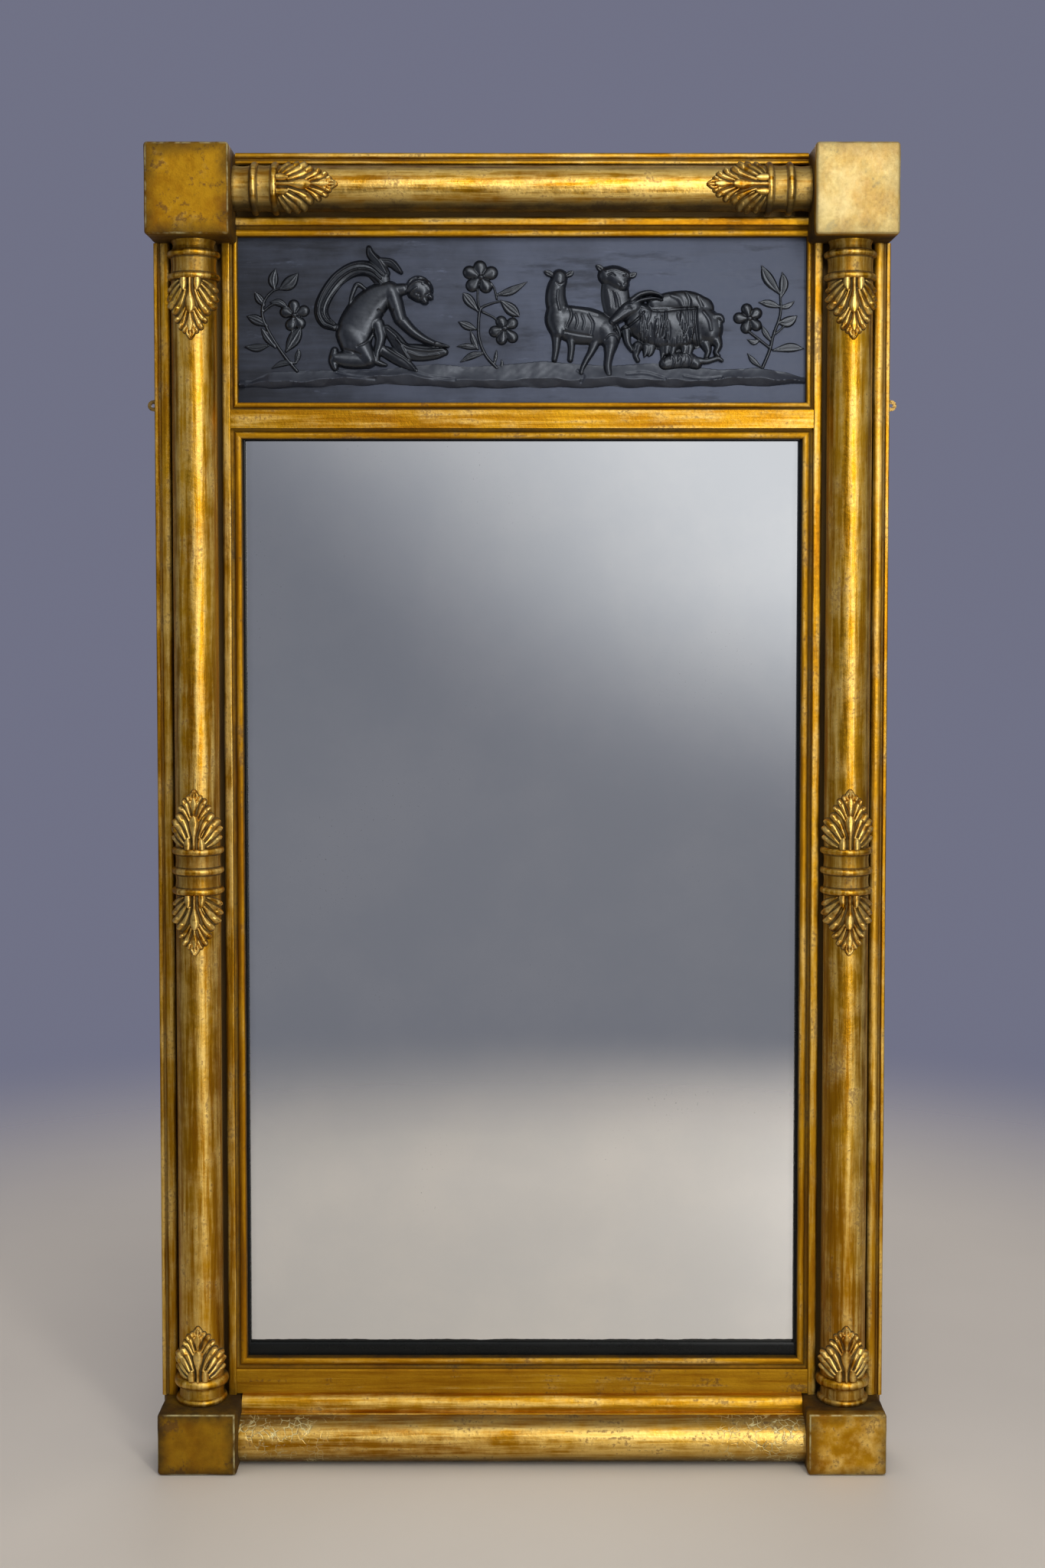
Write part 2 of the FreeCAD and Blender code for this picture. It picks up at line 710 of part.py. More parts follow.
backboard_depth = ("rebate_y", "back_y")
board_edge_x = "inner_x + rebate_width - joint_clearance"
plate_backboard = board(
    ("board_gap / 2", board_edge_x),
    backboard_depth,
    ("rebate_z + joint_clearance", "frieze_rail_middle - board_gap / 2"),
)
pair(cut(plate_backboard, [right_steel]), "plate_backboard")
frieze_backboard = board(
    (f"-({board_edge_x})", board_edge_x),
    backboard_depth,
    ("frieze_rail_middle + board_gap / 2", "rebate_top - joint_clearance"),
)
node(cut(frieze_backboard, [steel_screws]), "frieze_backboard")

# Brass wall plates, let into the stiles, each with an ear that stands out past the frame
half_plate = "wall_plate_height / 2"
half_ear = "ear_height / 2"
wall_plate_outline = [
    ("wall_seat_x", f"-{half_plate}"),
    ("half_width", f"-{half_plate}"),
    ("half_width", f"-{half_ear}"),
    ("ear_x", "-ear_radius", "ear_x", "0"),
    ("ear_x", "ear_radius"),
    ("half_width", half_ear),
    ("half_width", half_plate),
    ("wall_seat_x", half_plate),
]
wall_plate = padded("XZ_Plane", wall_plate_outline, "wall_plate_thickness", y="back_y", z="wall_plate_z")
ear_hole = rod("ear_hole_radius", "depth", into_back, "ear_x", "back_y + cut_overrun", "wall_plate_z")
pair(cut(wall_plate, [ear_hole, right_brass]), "wall_plate")

# Frieze panel
panel_half_width = "inner_x - panel_clearance"
frieze_panel = board(
    (f"-({panel_half_width})", panel_half_width),
    ("sight_back_y", "sight_back_y + panel_thickness"),
    ("frieze_rail_top + panel_clearance", "top_rail_z - panel_clearance"),
)
node(frieze_panel, "frieze_panel")
document.recompute()

# Relief on the panel, built up of swelling forms sunk past their middle in the panel's face. Each row of
# shares: middle across and up the frieze, half length, half width (all shares of the frieze height in
# the clear), turn from level in degrees, rise (a share of the relief's rise).
sunk_share = 0.3
ground_shares = [
    (-1.34, 0.12, 0.34, 0.06, 0, 0.62),
    (-0.78, 0.13, 0.4, 0.075, 2, 0.7),
    (-0.3, 0.125, 0.34, 0.07, -2, 0.66),
    (0.3, 0.13, 0.42, 0.075, 1, 0.7),
    (0.92, 0.135, 0.4, 0.085, -2, 0.74),
    (1.42, 0.12, 0.3, 0.06, 0, 0.62),
]
child_shares = [
    (-0.926, 0.574, 0.16, 0.085, 40, 0.8),
    (-1.06, 0.454, 0.09, 0.08, 60, 0.82),
    (-0.996, 0.372, 0.125, 0.055, -68, 0.86),
    (-1.073, 0.278, 0.11, 0.045, -6, 0.7),
    (-0.885, 0.37, 0.13, 0.034, 96, 0.6),
    (-0.76, 0.57, 0.11, 0.042, -70, 0.9),
    (-0.66, 0.44, 0.13, 0.032, -37, 0.7),
    (-0.53, 0.352, 0.07, 0.024, -10, 0.5),
    (-0.76, 0.675, 0.09, 0.045, 20, 0.7),
    (-0.625, 0.69, 0.082, 0.072, -40, 0.95),
]
scarf_shares = [
    (-0.83, 0.77, 0.09, 0.05, -50, 0.5),
    (-0.98, 0.83, 0.13, 0.035, 8, 0.5),
    (-1.14, 0.74, 0.13, 0.032, 46, 0.5),
    (-1.2, 0.59, 0.1, 0.034, 94, 0.5),
    (-1.16, 0.48, 0.07, 0.034, 132, 0.45),
    (-0.88, 0.88, 0.09, 0.026, -28, 0.45),
]
drapery_shares = [
    (-0.7, 0.27, 0.2, 0.06, -10, 0.5),
    (-0.56, 0.3, 0.11, 0.045, -8, 0.42),
]
kid_shares = [
    (0.225, 0.755, 0.07, 0.045, 88, 0.8),
    (0.165, 0.785, 0.045, 0.022, -40, 0.5),
    (0.285, 0.78, 0.045, 0.022, 40, 0.5),
    (0.22, 0.65, 0.11, 0.05, 92, 0.7),
    (0.25, 0.53, 0.11, 0.075, 80, 0.8),
    (0.35, 0.5, 0.16, 0.08, -18, 0.82),
    (0.47, 0.43, 0.1, 0.07, -50, 0.75),
    (0.212, 0.33, 0.15, 0.024, 88, 0.5),
    (0.302, 0.32, 0.13, 0.022, 92, 0.4),
    (0.44, 0.3, 0.12, 0.022, 66, 0.4),
    (0.53, 0.29, 0.14, 0.026, 92, 0.55),
]
goat_shares = [
    (0.93, 0.47, 0.3, 0.2, -3, 0.9),
    (1.13, 0.46, 0.11, 0.16, -4, 0.8),
    (0.68, 0.49, 0.12, 0.13, 30, 0.8),
    (0.602, 0.54, 0.11, 0.055, 42, 0.95),
    (0.78, 0.65, 0.12, 0.022, -2, 0.9),
    (0.6, 0.77, 0.085, 0.065, 100, 0.8),
    (0.63, 0.75, 0.045, 0.04, 0, 0.95),
    (0.585, 0.65, 0.12, 0.068, 90, 0.6),
    (0.525, 0.84, 0.055, 0.024, -40, 0.5),
    (0.685, 0.815, 0.055, 0.024, 30, 0.5),
    (1.22, 0.53, 0.05, 0.028, 20, 0.5),
    (1.2, 0.33, 0.15, 0.032, 82, 0.5),
    (0.72, 0.28, 0.1, 0.032, 66, 0.5),
]
left_plant_shares = [
    (-1.45, 0.33, 0.2, 0.014, 128, 0.4),
    (-1.57, 0.53, 0.15, 0.014, 106, 0.4),
    (-1.56, 0.68, 0.07, 0.013, 60, 0.4),
    (-1.515, 0.755, 0.055, 0.024, 82, 0.4),
    (-1.44, 0.74, 0.08, 0.034, 24, 0.4),
    (-1.62, 0.64, 0.05, 0.02, 120, 0.4),
    (-1.63, 0.51, 0.065, 0.022, 152, 0.4),
    (-1.56, 0.4, 0.065, 0.022, 128, 0.4),
    (-1.62, 0.345, 0.085, 0.02, 4, 0.4),
    (-1.41, 0.39, 0.07, 0.03, 58, 0.4),
    (-1.39, 0.28, 0.07, 0.02, 68, 0.4),
    (-1.47, 0.24, 0.085, 0.018, 10, 0.4),
    (-1.48, 0.56, 0.1, 0.012, 14, 0.35),
]
centre_plant_shares = [
    (-0.21, 0.28, 0.12, 0.014, 132, 0.4),
    (-0.265, 0.45, 0.15, 0.014, 94, 0.4),
    (-0.245, 0.64, 0.14, 0.013, 86, 0.4),
    (-0.315, 0.6, 0.085, 0.026, 124, 0.4),
    (-0.18, 0.595, 0.13, 0.016, 24, 0.4),
    (-0.06, 0.67, 0.1, 0.03, 24, 0.4),
    (-0.07, 0.585, 0.075, 0.03, 140, 0.4),
    (-0.185, 0.51, 0.1, 0.013, 138, 0.35),
    (-0.33, 0.465, 0.07, 0.022, 154, 0.4),
    (-0.3, 0.385, 0.06, 0.024, 112, 0.4),
    (-0.33, 0.33, 0.085, 0.02, 2, 0.4),
    (-0.175, 0.285, 0.055, 0.015, 76, 0.35),
]
right_plant_shares = [
    (1.51, 0.28, 0.1, 0.015, 48, 0.4),
    (1.565, 0.43, 0.15, 0.014, 78, 0.4),
    (1.595, 0.6, 0.11, 0.014, 88, 0.4),
    (1.53, 0.74, 0.12, 0.028, 122, 0.4),
    (1.605, 0.73, 0.08, 0.026, 86, 0.4),
    (1.52, 0.595, 0.09, 0.026, 4, 0.4),
    (1.47, 0.36, 0.1, 0.024, 130, 0.4),
    (1.63, 0.495, 0.07, 0.03, 14, 0.4),
    (1.635, 0.33, 0.085, 0.028, 178, 0.4),
    (1.6, 0.4, 0.05, 0.02, 76, 0.4),
    (1.45, 0.25, 0.07, 0.018, 126, 0.4),
    (1.49, 0.51, 0.1, 0.012, 172, 0.35),
]
# Flowers: middle across and up; all have five petals round a boss
left_flower_share = (-1.403, 0.536)
centre_flower_shares = [(-0.248, 0.773), (-0.113, 0.454)]
right_flower_share = (1.422, 0.51)
petal_count = 5
petal_ring_share = 0.062
petal_length_share = 0.045
petal_width_share = 0.034
petal_rise_share = 0.5
boss_share = 0.028
boss_rise_share = 0.7


clear_sill = size("frieze_rail_top") + size("frieze_sight_bottom")
clear_height = size("top_rail_z") - size("frieze_sight_top") - clear_sill


def swelling(row):
    x, z, half_length, half_breadth, turn, rise = row
    depth = rise * size("relief_rise") / (1 - sunk_share)
    spread = clear_height / sqrt(1 - sunk_share**2)
    stretch = Matrix()
    stretch.scale(half_length * spread, depth, half_breadth * spread)
    form = Part.makeSphere(1).transformGeometry(stretch)
    form.rotate(Vector(), Vector(0, 1, 0), -turn)
    middle_y = size("sight_back_y") + sunk_share * depth
    form.translate(Vector(x * clear_height, middle_y, clear_sill + z * clear_height))
    return form


def flower(middle):
    x, z = middle
    rows = [(x, z, boss_share, boss_share, 0, boss_rise_share)]
    for petal in range(petal_count):
        angle = 2 * pi * petal / petal_count + pi / 2
        petal_x = x + petal_ring_share * cos(angle)
        petal_z = z + petal_ring_share * sin(angle)
        turn = 360 * petal / petal_count + 90
        rows.append((petal_x, petal_z, petal_length_share, petal_width_share, turn, petal_rise_share))
    return rows


clear_half_width = size("inner_x") - size("frieze_sight_side")
front_space = Part.makeBox(
    2 * clear_half_width,
    size("sight_back_y") - size("face_y"),
    clear_height,
    Vector(-clear_half_width, size("face_y"), clear_sill),
)


def relief(label, rows, under=None):
    forms = [swelling(row) for row in rows]
    shape = forms[0].multiFuse(forms[1:]).common(front_space)
    if under:
        shape = shape.cut(under)
    item = document.addObject("Part::Feature", "relief")
    item.Shape = shape
    return node(item, label).Shape


ground = relief("relief_ground", ground_shares)
relief("relief_child", child_shares + scarf_shares + drapery_shares, ground)
relief("relief_goats", kid_shares + goat_shares, ground)
relief("relief_plant_left", left_plant_shares + flower(left_flower_share), ground)
centre_flowers = [row for middle in centre_flower_shares for row in flower(middle)]
relief("relief_plant_centre", centre_plant_shares + centre_flowers, ground)
relief("relief_plant_right", right_plant_shares + flower(right_flower_share), ground)

document.recompute()
failed = [item.Label for item in document.Objects if {"Invalid", "Error"} & set(item.State)]
failed += [item.Label for item in nodes if item.Shape.isNull() or not item.Shape.isValid()]
if failed:
    raise RuntimeError(f"these did not build: {failed}")
os.makedirs("parts", exist_ok=True)
for item in nodes:
    item.Shape.exportStep(f"parts/{item.Label}.step")
    print(item.Label, len(item.Shape.Solids), round(item.Shape.Volume))
print(len(nodes), "nodes")
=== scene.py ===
from math import cos, pi, radians, sin

import bpy
import numpy as np
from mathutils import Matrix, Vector


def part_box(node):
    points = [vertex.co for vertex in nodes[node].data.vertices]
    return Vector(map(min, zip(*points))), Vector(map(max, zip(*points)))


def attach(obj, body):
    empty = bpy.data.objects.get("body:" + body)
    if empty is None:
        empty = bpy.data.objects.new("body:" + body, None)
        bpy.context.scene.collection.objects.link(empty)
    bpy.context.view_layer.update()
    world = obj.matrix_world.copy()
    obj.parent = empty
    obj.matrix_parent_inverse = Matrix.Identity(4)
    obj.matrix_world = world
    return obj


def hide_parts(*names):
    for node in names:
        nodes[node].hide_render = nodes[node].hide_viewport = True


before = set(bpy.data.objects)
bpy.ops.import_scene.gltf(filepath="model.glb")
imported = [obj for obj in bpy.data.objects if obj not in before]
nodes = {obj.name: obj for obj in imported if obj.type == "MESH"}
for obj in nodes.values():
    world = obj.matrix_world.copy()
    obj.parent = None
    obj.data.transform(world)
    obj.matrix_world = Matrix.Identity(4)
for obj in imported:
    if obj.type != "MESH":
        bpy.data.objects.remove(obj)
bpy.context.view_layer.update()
mm = 0.001
print("frame loaded:", len(nodes), "nodes")


class Wire:  # a socket that takes part in sums
    def __init__(self, finish, socket):
        self.finish = finish
        self.socket = socket

    def __add__(self, other):
        return self.finish.math("ADD", self, other)

    def __radd__(self, other):
        return self.finish.math("ADD", other, self)

    def __sub__(self, other):
        return self.finish.math("SUBTRACT", self, other)

    def __rsub__(self, other):
        return self.finish.math("SUBTRACT", other, self)

    def __mul__(self, other):
        return self.finish.math("MULTIPLY", self, other)

    def __pow__(self, other):
        return self.finish.math("POWER", self, other)

    def __abs__(self):
        return self.finish.math("ABSOLUTE", self)


class Finish:  # a node tree and the few ways its nodes are added
    def __init__(self, tree):
        self.tree = tree
        self.tree.nodes.clear()

    def node(self, kind, settings=None, sockets=None, out=0):
        made = self.tree.nodes.new(kind)
        for name, value in (settings or {}).items():
            setattr(made, name, value)
        for name, value in (sockets or {}).items():
            if isinstance(value, Wire):
                self.tree.links.new(value.socket, made.inputs[name])
            else:
                made.inputs[name].default_value = value
        return Wire(self, made.outputs[out]) if made.outputs else made

    def math(self, operation, first, second=0.0):
        return self.node("ShaderNodeMath", {"operation": operation}, {0: first, 1: second})

    def most(self, *values):
        largest = values[0]
        for value in values[1:]:
            largest = self.math("MAXIMUM", largest, value)
        return largest

    def vector(self, operation, first, sockets, out=0):
        return self.node("ShaderNodeVectorMath", {"operation": operation}, {0: first, **sockets}, out)

    def place(self):
        return self.node("ShaderNodeTexCoord", out="Object")

    def axis(self, place, index):
        return self.node("ShaderNodeSeparateXYZ", {}, {0: place}, index)

    def noise(self, place, scale, detail=4.0, rough=0.6, stretch=(1, 1, 1), shift=(0, 0, 0)):
        moved = self.node("ShaderNodeMapping", {}, {"Vector": place, "Scale": stretch, "Location": shift})
        sockets = {"Vector": moved, "Scale": scale, "Detail": detail, "Roughness": rough}
        return self.node("ShaderNodeTexNoise", {}, sockets)

    def between(self, value, low, high, first=0.0, last=1.0):
        sockets = {"Value": value, "From Min": low, "From Max": high, "To Min": first, "To Max": last}
        return self.node("ShaderNodeMapRange", {"interpolation_type": "SMOOTHSTEP"}, sockets)

    def mix(self, factor, first, second):
        colours = [value if isinstance(value, Wire) else (*value, 1) for value in (first, second)]
        sockets = {0: factor, 6: colours[0], 7: colours[1]}
        return self.node("ShaderNodeMix", {"data_type": "RGBA"}, sockets, 2)

    def bump(self, height, strength, distance):
        sockets = {"Height": height, "Strength": strength, "Distance": distance}
        return self.node("ShaderNodeBump", {}, sockets)

    def surface(self, sockets):
        shader = self.node("ShaderNodeBsdfPrincipled", {}, sockets)
        self.node("ShaderNodeOutputMaterial", {}, {"Surface": shader})


def newFinish(name):
    material = bpy.data.materials.new(name)
    material.use_nodes = True
    make = Finish(material.node_tree)
    return material, make, make.place()


# Finishes
giltLook = {
    "deep": (0.30, 0.122, 0.004),  # orange gold where the leaf is thin
    "body": (0.49, 0.258, 0.011),
    "bright": (0.80, 0.568, 0.180),  # burnished
    "bole": (0.110, 0.036, 0.010),  # clay that shows through
    # dark colour for grime and for painted shade
    "dirtAndShade": (0.030, 0.015, 0.003),
    # pale gold for rubbed wear, and for a painted sheen on the right top block
    "rubbedAndSheen": (0.62, 0.55, 0.28),
    "upright": (70, 70, 2.2), "level": (2.2, 70, 70), "carved": (40, 40, 40), "block": (16, 16, 16),  # streaks
}


def giltFinish(name, run, hollow=None, tone=0.0, wear=0.5, rough=(0.36, 0.60), marks=None):
    # run: how a streak is stretched; hollow: a function that gives painted shade in hollows, at the sides and below,
    # with some patina in carvings; marks: a function that gives pale rubbing, and on one block a painted sheen; both 0
    # to 1
    material, make, place = newFinish(name)
    streak = make.noise(place, 1.0, 6.0, 0.65, giltLook[run])
    brush = make.noise(place, 1.0, 4.0, 0.6, tuple(value * 2.6 + 4 for value in giltLook[run]), (5, 2, 7))
    cloud = make.noise(place, 7.0, 5.0, 0.62)
    patch = make.noise(place, 30.0, 5.0, 0.66, (1, 1, 1), (3, 1, 2))
    fleck = make.noise(place, 260.0, 3.0, 0.6)
    warmth = make.between(cloud * 0.3 + streak * 0.3 + brush * 0.4, 0.38, 0.60)
    colour = make.mix(warmth, giltLook["deep"], giltLook["body"])
    shine = make.between(streak * 0.35 + patch * 0.3 + brush * 0.35 + tone, 0.46, 0.64)
    colour = make.mix(shine * 0.85, colour, giltLook["bright"])
    bare = 0.57 - 0.05 * wear
    worn = make.between(fleck * 0.3 + patch * 0.4 + brush * 0.3, bare, bare + 0.07)
    colour = make.mix(worn * (0.35 + 0.4 * wear), colour, giltLook["bole"])
    grimeAndShade = make.between(streak * 0.55 + cloud * 0.45, 0.42, 0.30) * 0.45
    # painted shade from the hollow function joins the random grime here
    if hollow:
        broken = make.between(patch * 0.6 + streak * 0.4, 0.30, 0.62, 0.72, 1.12)
        grimeAndShade = make.most(grimeAndShade, hollow(make, place) * broken)
    colour = make.mix(grimeAndShade, colour, giltLook["dirtAndShade"])
    roughness = make.between(brush * 0.4 + patch * 0.3 + fleck * 0.3, 0.36, 0.64, *rough) + grimeAndShade * 0.26
    metal = 1.0 - grimeAndShade * 0.3 - worn * 0.2
    height = streak * 0.5 + brush * 0.5 + patch * 0.9 + fleck * 0.3
    # pale rubbing and scratches, and on one block a painted sheen
    if marks:
        rubbedAndSheen = marks(make, place)
        colour = make.mix(rubbedAndSheen, colour, giltLook["rubbedAndSheen"])
        height = height - rubbedAndSheen * 0.8
    normal = make.bump(height, 0.5, 0.0014)
    make.surface({"Base Color": colour, "Roughness": roughness, "Metallic": metal, "Normal": normal})
    return material


# The columns' places, and where painted shade falls on them, in mm
columnLook = {
    "x": 386, "y": -2, "topZ": 1517.5, "shaft": 26.5,
    "levelRings": [(289, 338)], "levelBeads": (289, 313),
    "uprightRings": [(73, 94), (690, 738), (1413, 1456)], "uprightBeads": (690.4, 714.2, 738, 1413.3, 1440),
}


def fade(make, place, axis, start, end, amount=1.0):  # grows from start to end along an axis
    return make.between(make.axis(place, axis), start * mm, end * mm, 0.0, amount)


def shadedBehind(start, end, amount):  # painted shade grows with depth behind the face
    return lambda make, place: fade(make, place, 1, start, end, amount)


def fromMiddle(make, place, level):  # distance out from a column's middle line
    if level:
        across = make.axis(place, 2) - columnLook["topZ"] * mm
    else:
        across = abs(make.axis(place, 0)) - columnLook["x"] * mm
    depth = make.axis(place, 1) - columnLook["y"] * mm
    return (across * across + depth * depth) ** 0.5


def shadeUnderneath(make, place):  # painted shade on the lower side of the top column
    return fade(make, place, 2, columnLook["topZ"] - 11, columnLook["topZ"] - 23, 0.85)


def carvedPatinaAndShade(level):  # patina and painted shade low on the carving, and painted shade at the sides of the column
    def hollow(make, place):
        shaft = columnLook["shaft"]
        sunk = make.between(fromMiddle(make, place, level), (shaft + 2.7) * mm, (shaft + 1.2) * mm, 0.0, 0.85)
        dark = make.most(sunk, fade(make, place, 1, -10, 8, 0.85))
        return make.most(dark, shadeUnderneath(make, place) * 0.8) if level else dark
    return hollow


def turnedShade(level):  # painted shade at the sides of a column, between its rings and in a line beside each bead
    def hollow(make, place):
        kind = "level" if level else "upright"
        sunk = make.between(fromMiddle(make, place, level), 30.6 * mm, 28.9 * mm)
        along = abs(make.axis(place, 0)) if level else make.axis(place, 2)
        near = 0.0
        for start, end in columnLook[kind + "Rings"]:
            after = make.between(along, (start - 3) * mm, (start + 3) * mm)
            near = near + after * make.between(along, (end + 3) * mm, (end - 3) * mm)
        dark = make.most(sunk * near * 0.36, fade(make, place, 1, -17, 7, 0.93))
        for middle in columnLook[kind + "Beads"]:
            away = abs(along - middle * mm)
            line = make.between(away, 3.3 * mm, 4.2 * mm) * make.between(away, 6.6 * mm, 4.8 * mm)
            dark = make.most(dark, line * 0.8)
        return make.most(dark, shadeUnderneath(make, place)) if level else dark
    return hollow


def outOnBlock(make, place, face):  # 0 in the middle of a block's face and 1 at its edges
    centre, wide, high = face
    across = abs(abs(make.axis(place, 0)) - columnLook["x"] * mm) * (1 / (wide * mm))
    up = abs(make.axis(place, 2) - centre * mm) * (1 / (high * mm))
    return make.most(across, up)


def blockShade(face, least, amount):  # darker toward the edges of a block's face, and painted shade behind it; the larger amounts on the left blocks are painted shade too
    def hollow(make, place):
        wander = make.noise(place, 30.0) * 0.5 - 0.25
        border = make.between(outOnBlock(make, place, face) + wander, 0.55, 1.05, least, amount)
        return make.most(border, fade(make, place, 1, -47, -36, 0.86))
    return hollow


def blockWearAndSheen(face, rubAndSheen):  # gilding rubbed pale along the edges, and a painted sheen smeared over the face by the rub amount
    def marks(make, place):
        out = outOnBlock(make, place, face)
        edge = make.between(out, 0.935, 0.965) * make.between(out, 0.995, 0.975)
        worn = edge * make.between(make.noise(place, 45.0), 0.40, 0.62) * 0.75
        if rubAndSheen:
            smear = make.noise(place, 22.0, 6.0, 0.68, (1, 1, 0.6), (4, 4, 4))
            # the smear is a painted sheen, kept together with the edge wear
            worn = make.most(worn, make.between(smear, 0.34, 0.66, 0.5 * rubAndSheen, rubAndSheen))
        return fade(make, place, 1, -48, -51) * worn
    return marks


def halfRoundShade(make, place):  # painted shade: the half round darkens below, above and toward the back
    low = fade(make, place, 2, 24, 6, 0.85)
    top = fade(make, place, 2, 41, 55, 0.66)
    return make.most(low, top, fade(make, place, 1, -24, 4, 0.85))


def crackle(make, place):  # a net of pale scratches at both ends of the half round
    bend = make.node("ShaderNodeTexNoise", {}, {"Vector": place, "Scale": 40.0}, "Color")
    bent = make.vector("ADD", place, {1: make.vector("SCALE", bend, {"Scale": 0.02})})
    net = make.node("ShaderNodeTexVoronoi", {"feature": "DISTANCE_TO_EDGE"}, {"Vector": bent, "Scale": 120.0})
    ends = make.between(abs(make.axis(place, 0)), 0.19, 0.28)
    patchy = make.between(make.noise(place, 55.0), 0.44, 0.60)
    return make.between(net, 0.10, 0.02) * ends * patchy * 0.7


# the third argument sets the painted shade at the block's edges, least and most; the last lays a painted sheen over
# the face
def giltCube(name, face, dirtAndShade, tone, wear, rough, rubAndSheen=0.0):
    return giltFinish(name, "block", blockShade(face, *dirtAndShade), tone, wear, rough, blockWearAndSheen(face, rubAndSheen))


# the hollow functions below paint shade into the gold's colour
giltUpright = giltFinish("giltUpright", "upright", shadedBehind(7.6, 13, 0.9))
giltLevel = giltFinish("giltLevel", "level", shadedBehind(7.6, 13, 0.9))
giltSightUpright = giltFinish("giltSightUpright", "upright", shadedBehind(13.4, 16, 0.85), -0.03, 0.6, (0.50, 0.70))
giltSightLevel = giltFinish("giltSightLevel", "level", shadedBehind(13.4, 16, 0.85), -0.03, 0.6, (0.50, 0.70))
giltBand = giltFinish("giltBand", "level", shadedBehind(4, 22, 0.9), -0.06, 0.6, (0.48, 0.66))
giltColumn = giltFinish("giltColumn", "upright", turnedShade(False), 0.01, 0.5, (0.32, 0.55))
# the top column is set a little paler than the side columns: painted light from above
giltTopColumn = giltFinish("giltTopColumn", "level", turnedShade(True), 0.05, 0.45, (0.28, 0.50))
giltLeaf = giltFinish("giltLeaf", "carved", carvedPatinaAndShade(False), 0.06, 0.3, (0.30, 0.46))
giltRailLeaf = giltFinish("giltRailLeaf", "carved", carvedPatinaAndShade(True), 0.06, 0.3, (0.30, 0.46))
giltHalfRound = giltFinish("giltHalfRound", "level", halfRoundShade, 0.05, 0.7, (0.30, 0.56), crackle)
topFace, footFace = (1509, 48.7, 53), (36.7, 46.7, 36.7)  # middle height, half width and half height
# shaded and lit copies of one gilding: the left blocks are painted darker and the right ones paler, painted shade and
# light; the right top block also gets a painted sheen
giltShadedBlock = giltCube("giltShadedBlock", topFace, (0.10, 0.66), -0.09, 0.75, (0.46, 0.66))
giltLitBlock = giltCube("giltLitBlock", topFace, (0.0, 0.22), -0.06, 0.55, (0.53, 0.70), 0.66)
giltLitFoot = giltCube("giltLitFoot", footFace, (0.0, 0.52), 0.0, 0.6, (0.46, 0.66))
giltShadedFoot = giltCube("giltShadedFoot", footFace, (0.30, 0.85), -0.12, 0.75, (0.50, 0.68))


def paintFinish(name, look):
    # the side range: where along X the paint turns paler toward the right, painted light, in mm
    material, make, place = newFinish(name)
    brush = make.noise(place, 1.0, 5.0, 0.6, (9, 40, 120))
    cloud = make.noise(place, 9.0, 5.0, 0.6)
    grain = make.noise(place, look["grain"], 3.0, 0.6)
    share = make.between(cloud * 0.6 + brush * 0.4, 0.34, 0.66)
    if "paintedLitSide" in look:
        start, end = look["paintedLitSide"]
        side = make.between(make.axis(place, 0) + cloud * 0.2 - 0.1, start * mm, end * mm)
        share = share * 0.4 + side * 0.75
    colour = make.mix(share, look["base"], look["pale"])
    rubAndSheen = make.between(make.noise(place, 1.0, 6.0, 0.7, (14, 30, 60), (2, 5, 1)), 0.60, 0.72)
    colour = make.mix(rubAndSheen * look["scuff"], colour, tuple(channel * 1.9 for channel in look["pale"]))
    smudge = make.between(make.noise(place, 1.0, 5.0, 0.66, (7, 30, 34), (1, 2, 3)), 0.55, 0.70)
    colour = make.mix(smudge * 0.55, colour, tuple(channel * 0.7 for channel in look["base"]))
    rough = make.between(brush * 0.5 + grain * 0.5, 0.3, 0.7, *look["rough"])
    normal = make.bump(grain * 0.6 + brush * 0.5, look["bump"], 0.0008)
    make.surface({"Base Color": colour, "Roughness": rough, "Specular IOR Level": look["gloss"], "Normal": normal})
    return material


# the panel is painted paler toward its right side: painted light
panelBlack = paintFinish("panelBlack", {
    "base": (0.012, 0.0140, 0.020), "pale": (0.077, 0.091, 0.133), "rough": (0.52, 0.68),
    "scuff": 0.4, "grain": 160.0, "bump": 0.2, "gloss": 0.2, "paintedLitSide": (-300, 120)})
slipBlack = paintFinish("slipBlack", {
    "base": (0.0022, 0.0028, 0.0028), "pale": (0.0045, 0.0052, 0.0052), "rough": (0.22, 0.36),
    "scuff": 0.08, "grain": 120.0, "bump": 0.05, "gloss": 0.18})


def reliefFinish(name, roughness, dark, pale):
    material, make, place = newFinish(name)
    cloud = make.noise(place, 30.0, 5.0, 0.6)
    grain = make.noise(place, 240.0, 3.0, 0.6)
    rubbedAndSheen = fade(make, place, 1, 23.5, 14) * make.between(cloud, 0.34, 0.66, 0.25, 1.0)  # the highest parts, painted paler: rubbed black and a painted highlight
    colour = make.mix(rubbedAndSheen, dark, pale)
    rough = make.between(grain * 0.4 + cloud * 0.6, 0.3, 0.7, *roughness)
    normal = make.bump(grain * 0.25 + cloud * 0.5, 0.08, 0.0008)
    make.surface({"Base Color": colour, "Roughness": rough, "Specular IOR Level": 0.62,
                  "Specular Tint": (0.82, 0.89, 1.0, 1.0), "Normal": normal})
    return material


reliefBlack = reliefFinish("reliefBlack", (0.26, 0.39), (0.0030, 0.0035, 0.0048), (0.012, 0.0138, 0.019))
# the ground gets a paler black than the figures: painted light on its upturned top
groundBlack = reliefFinish("groundBlack", (0.40, 0.54), (0.016, 0.0185, 0.027), (0.030, 0.034, 0.046))

pineLook = {
    "line": (0.150, 0.078, 0.034), "wood": (0.235, 0.135, 0.066), "grain": (0.185, 0.104, 0.050),
    "stain": (0.085, 0.052, 0.030), "up": (60, 60, 2.5), "wide": (2.5, 60, 60),
    # the last colour darkens the gilding at the front, deep in the channel beside the column: painted shade
    "thinGold": (0.16, 0.075, 0.012), "gold": (0.42, 0.24, 0.045), "channelShade": (0.060, 0.032, 0.008),
}


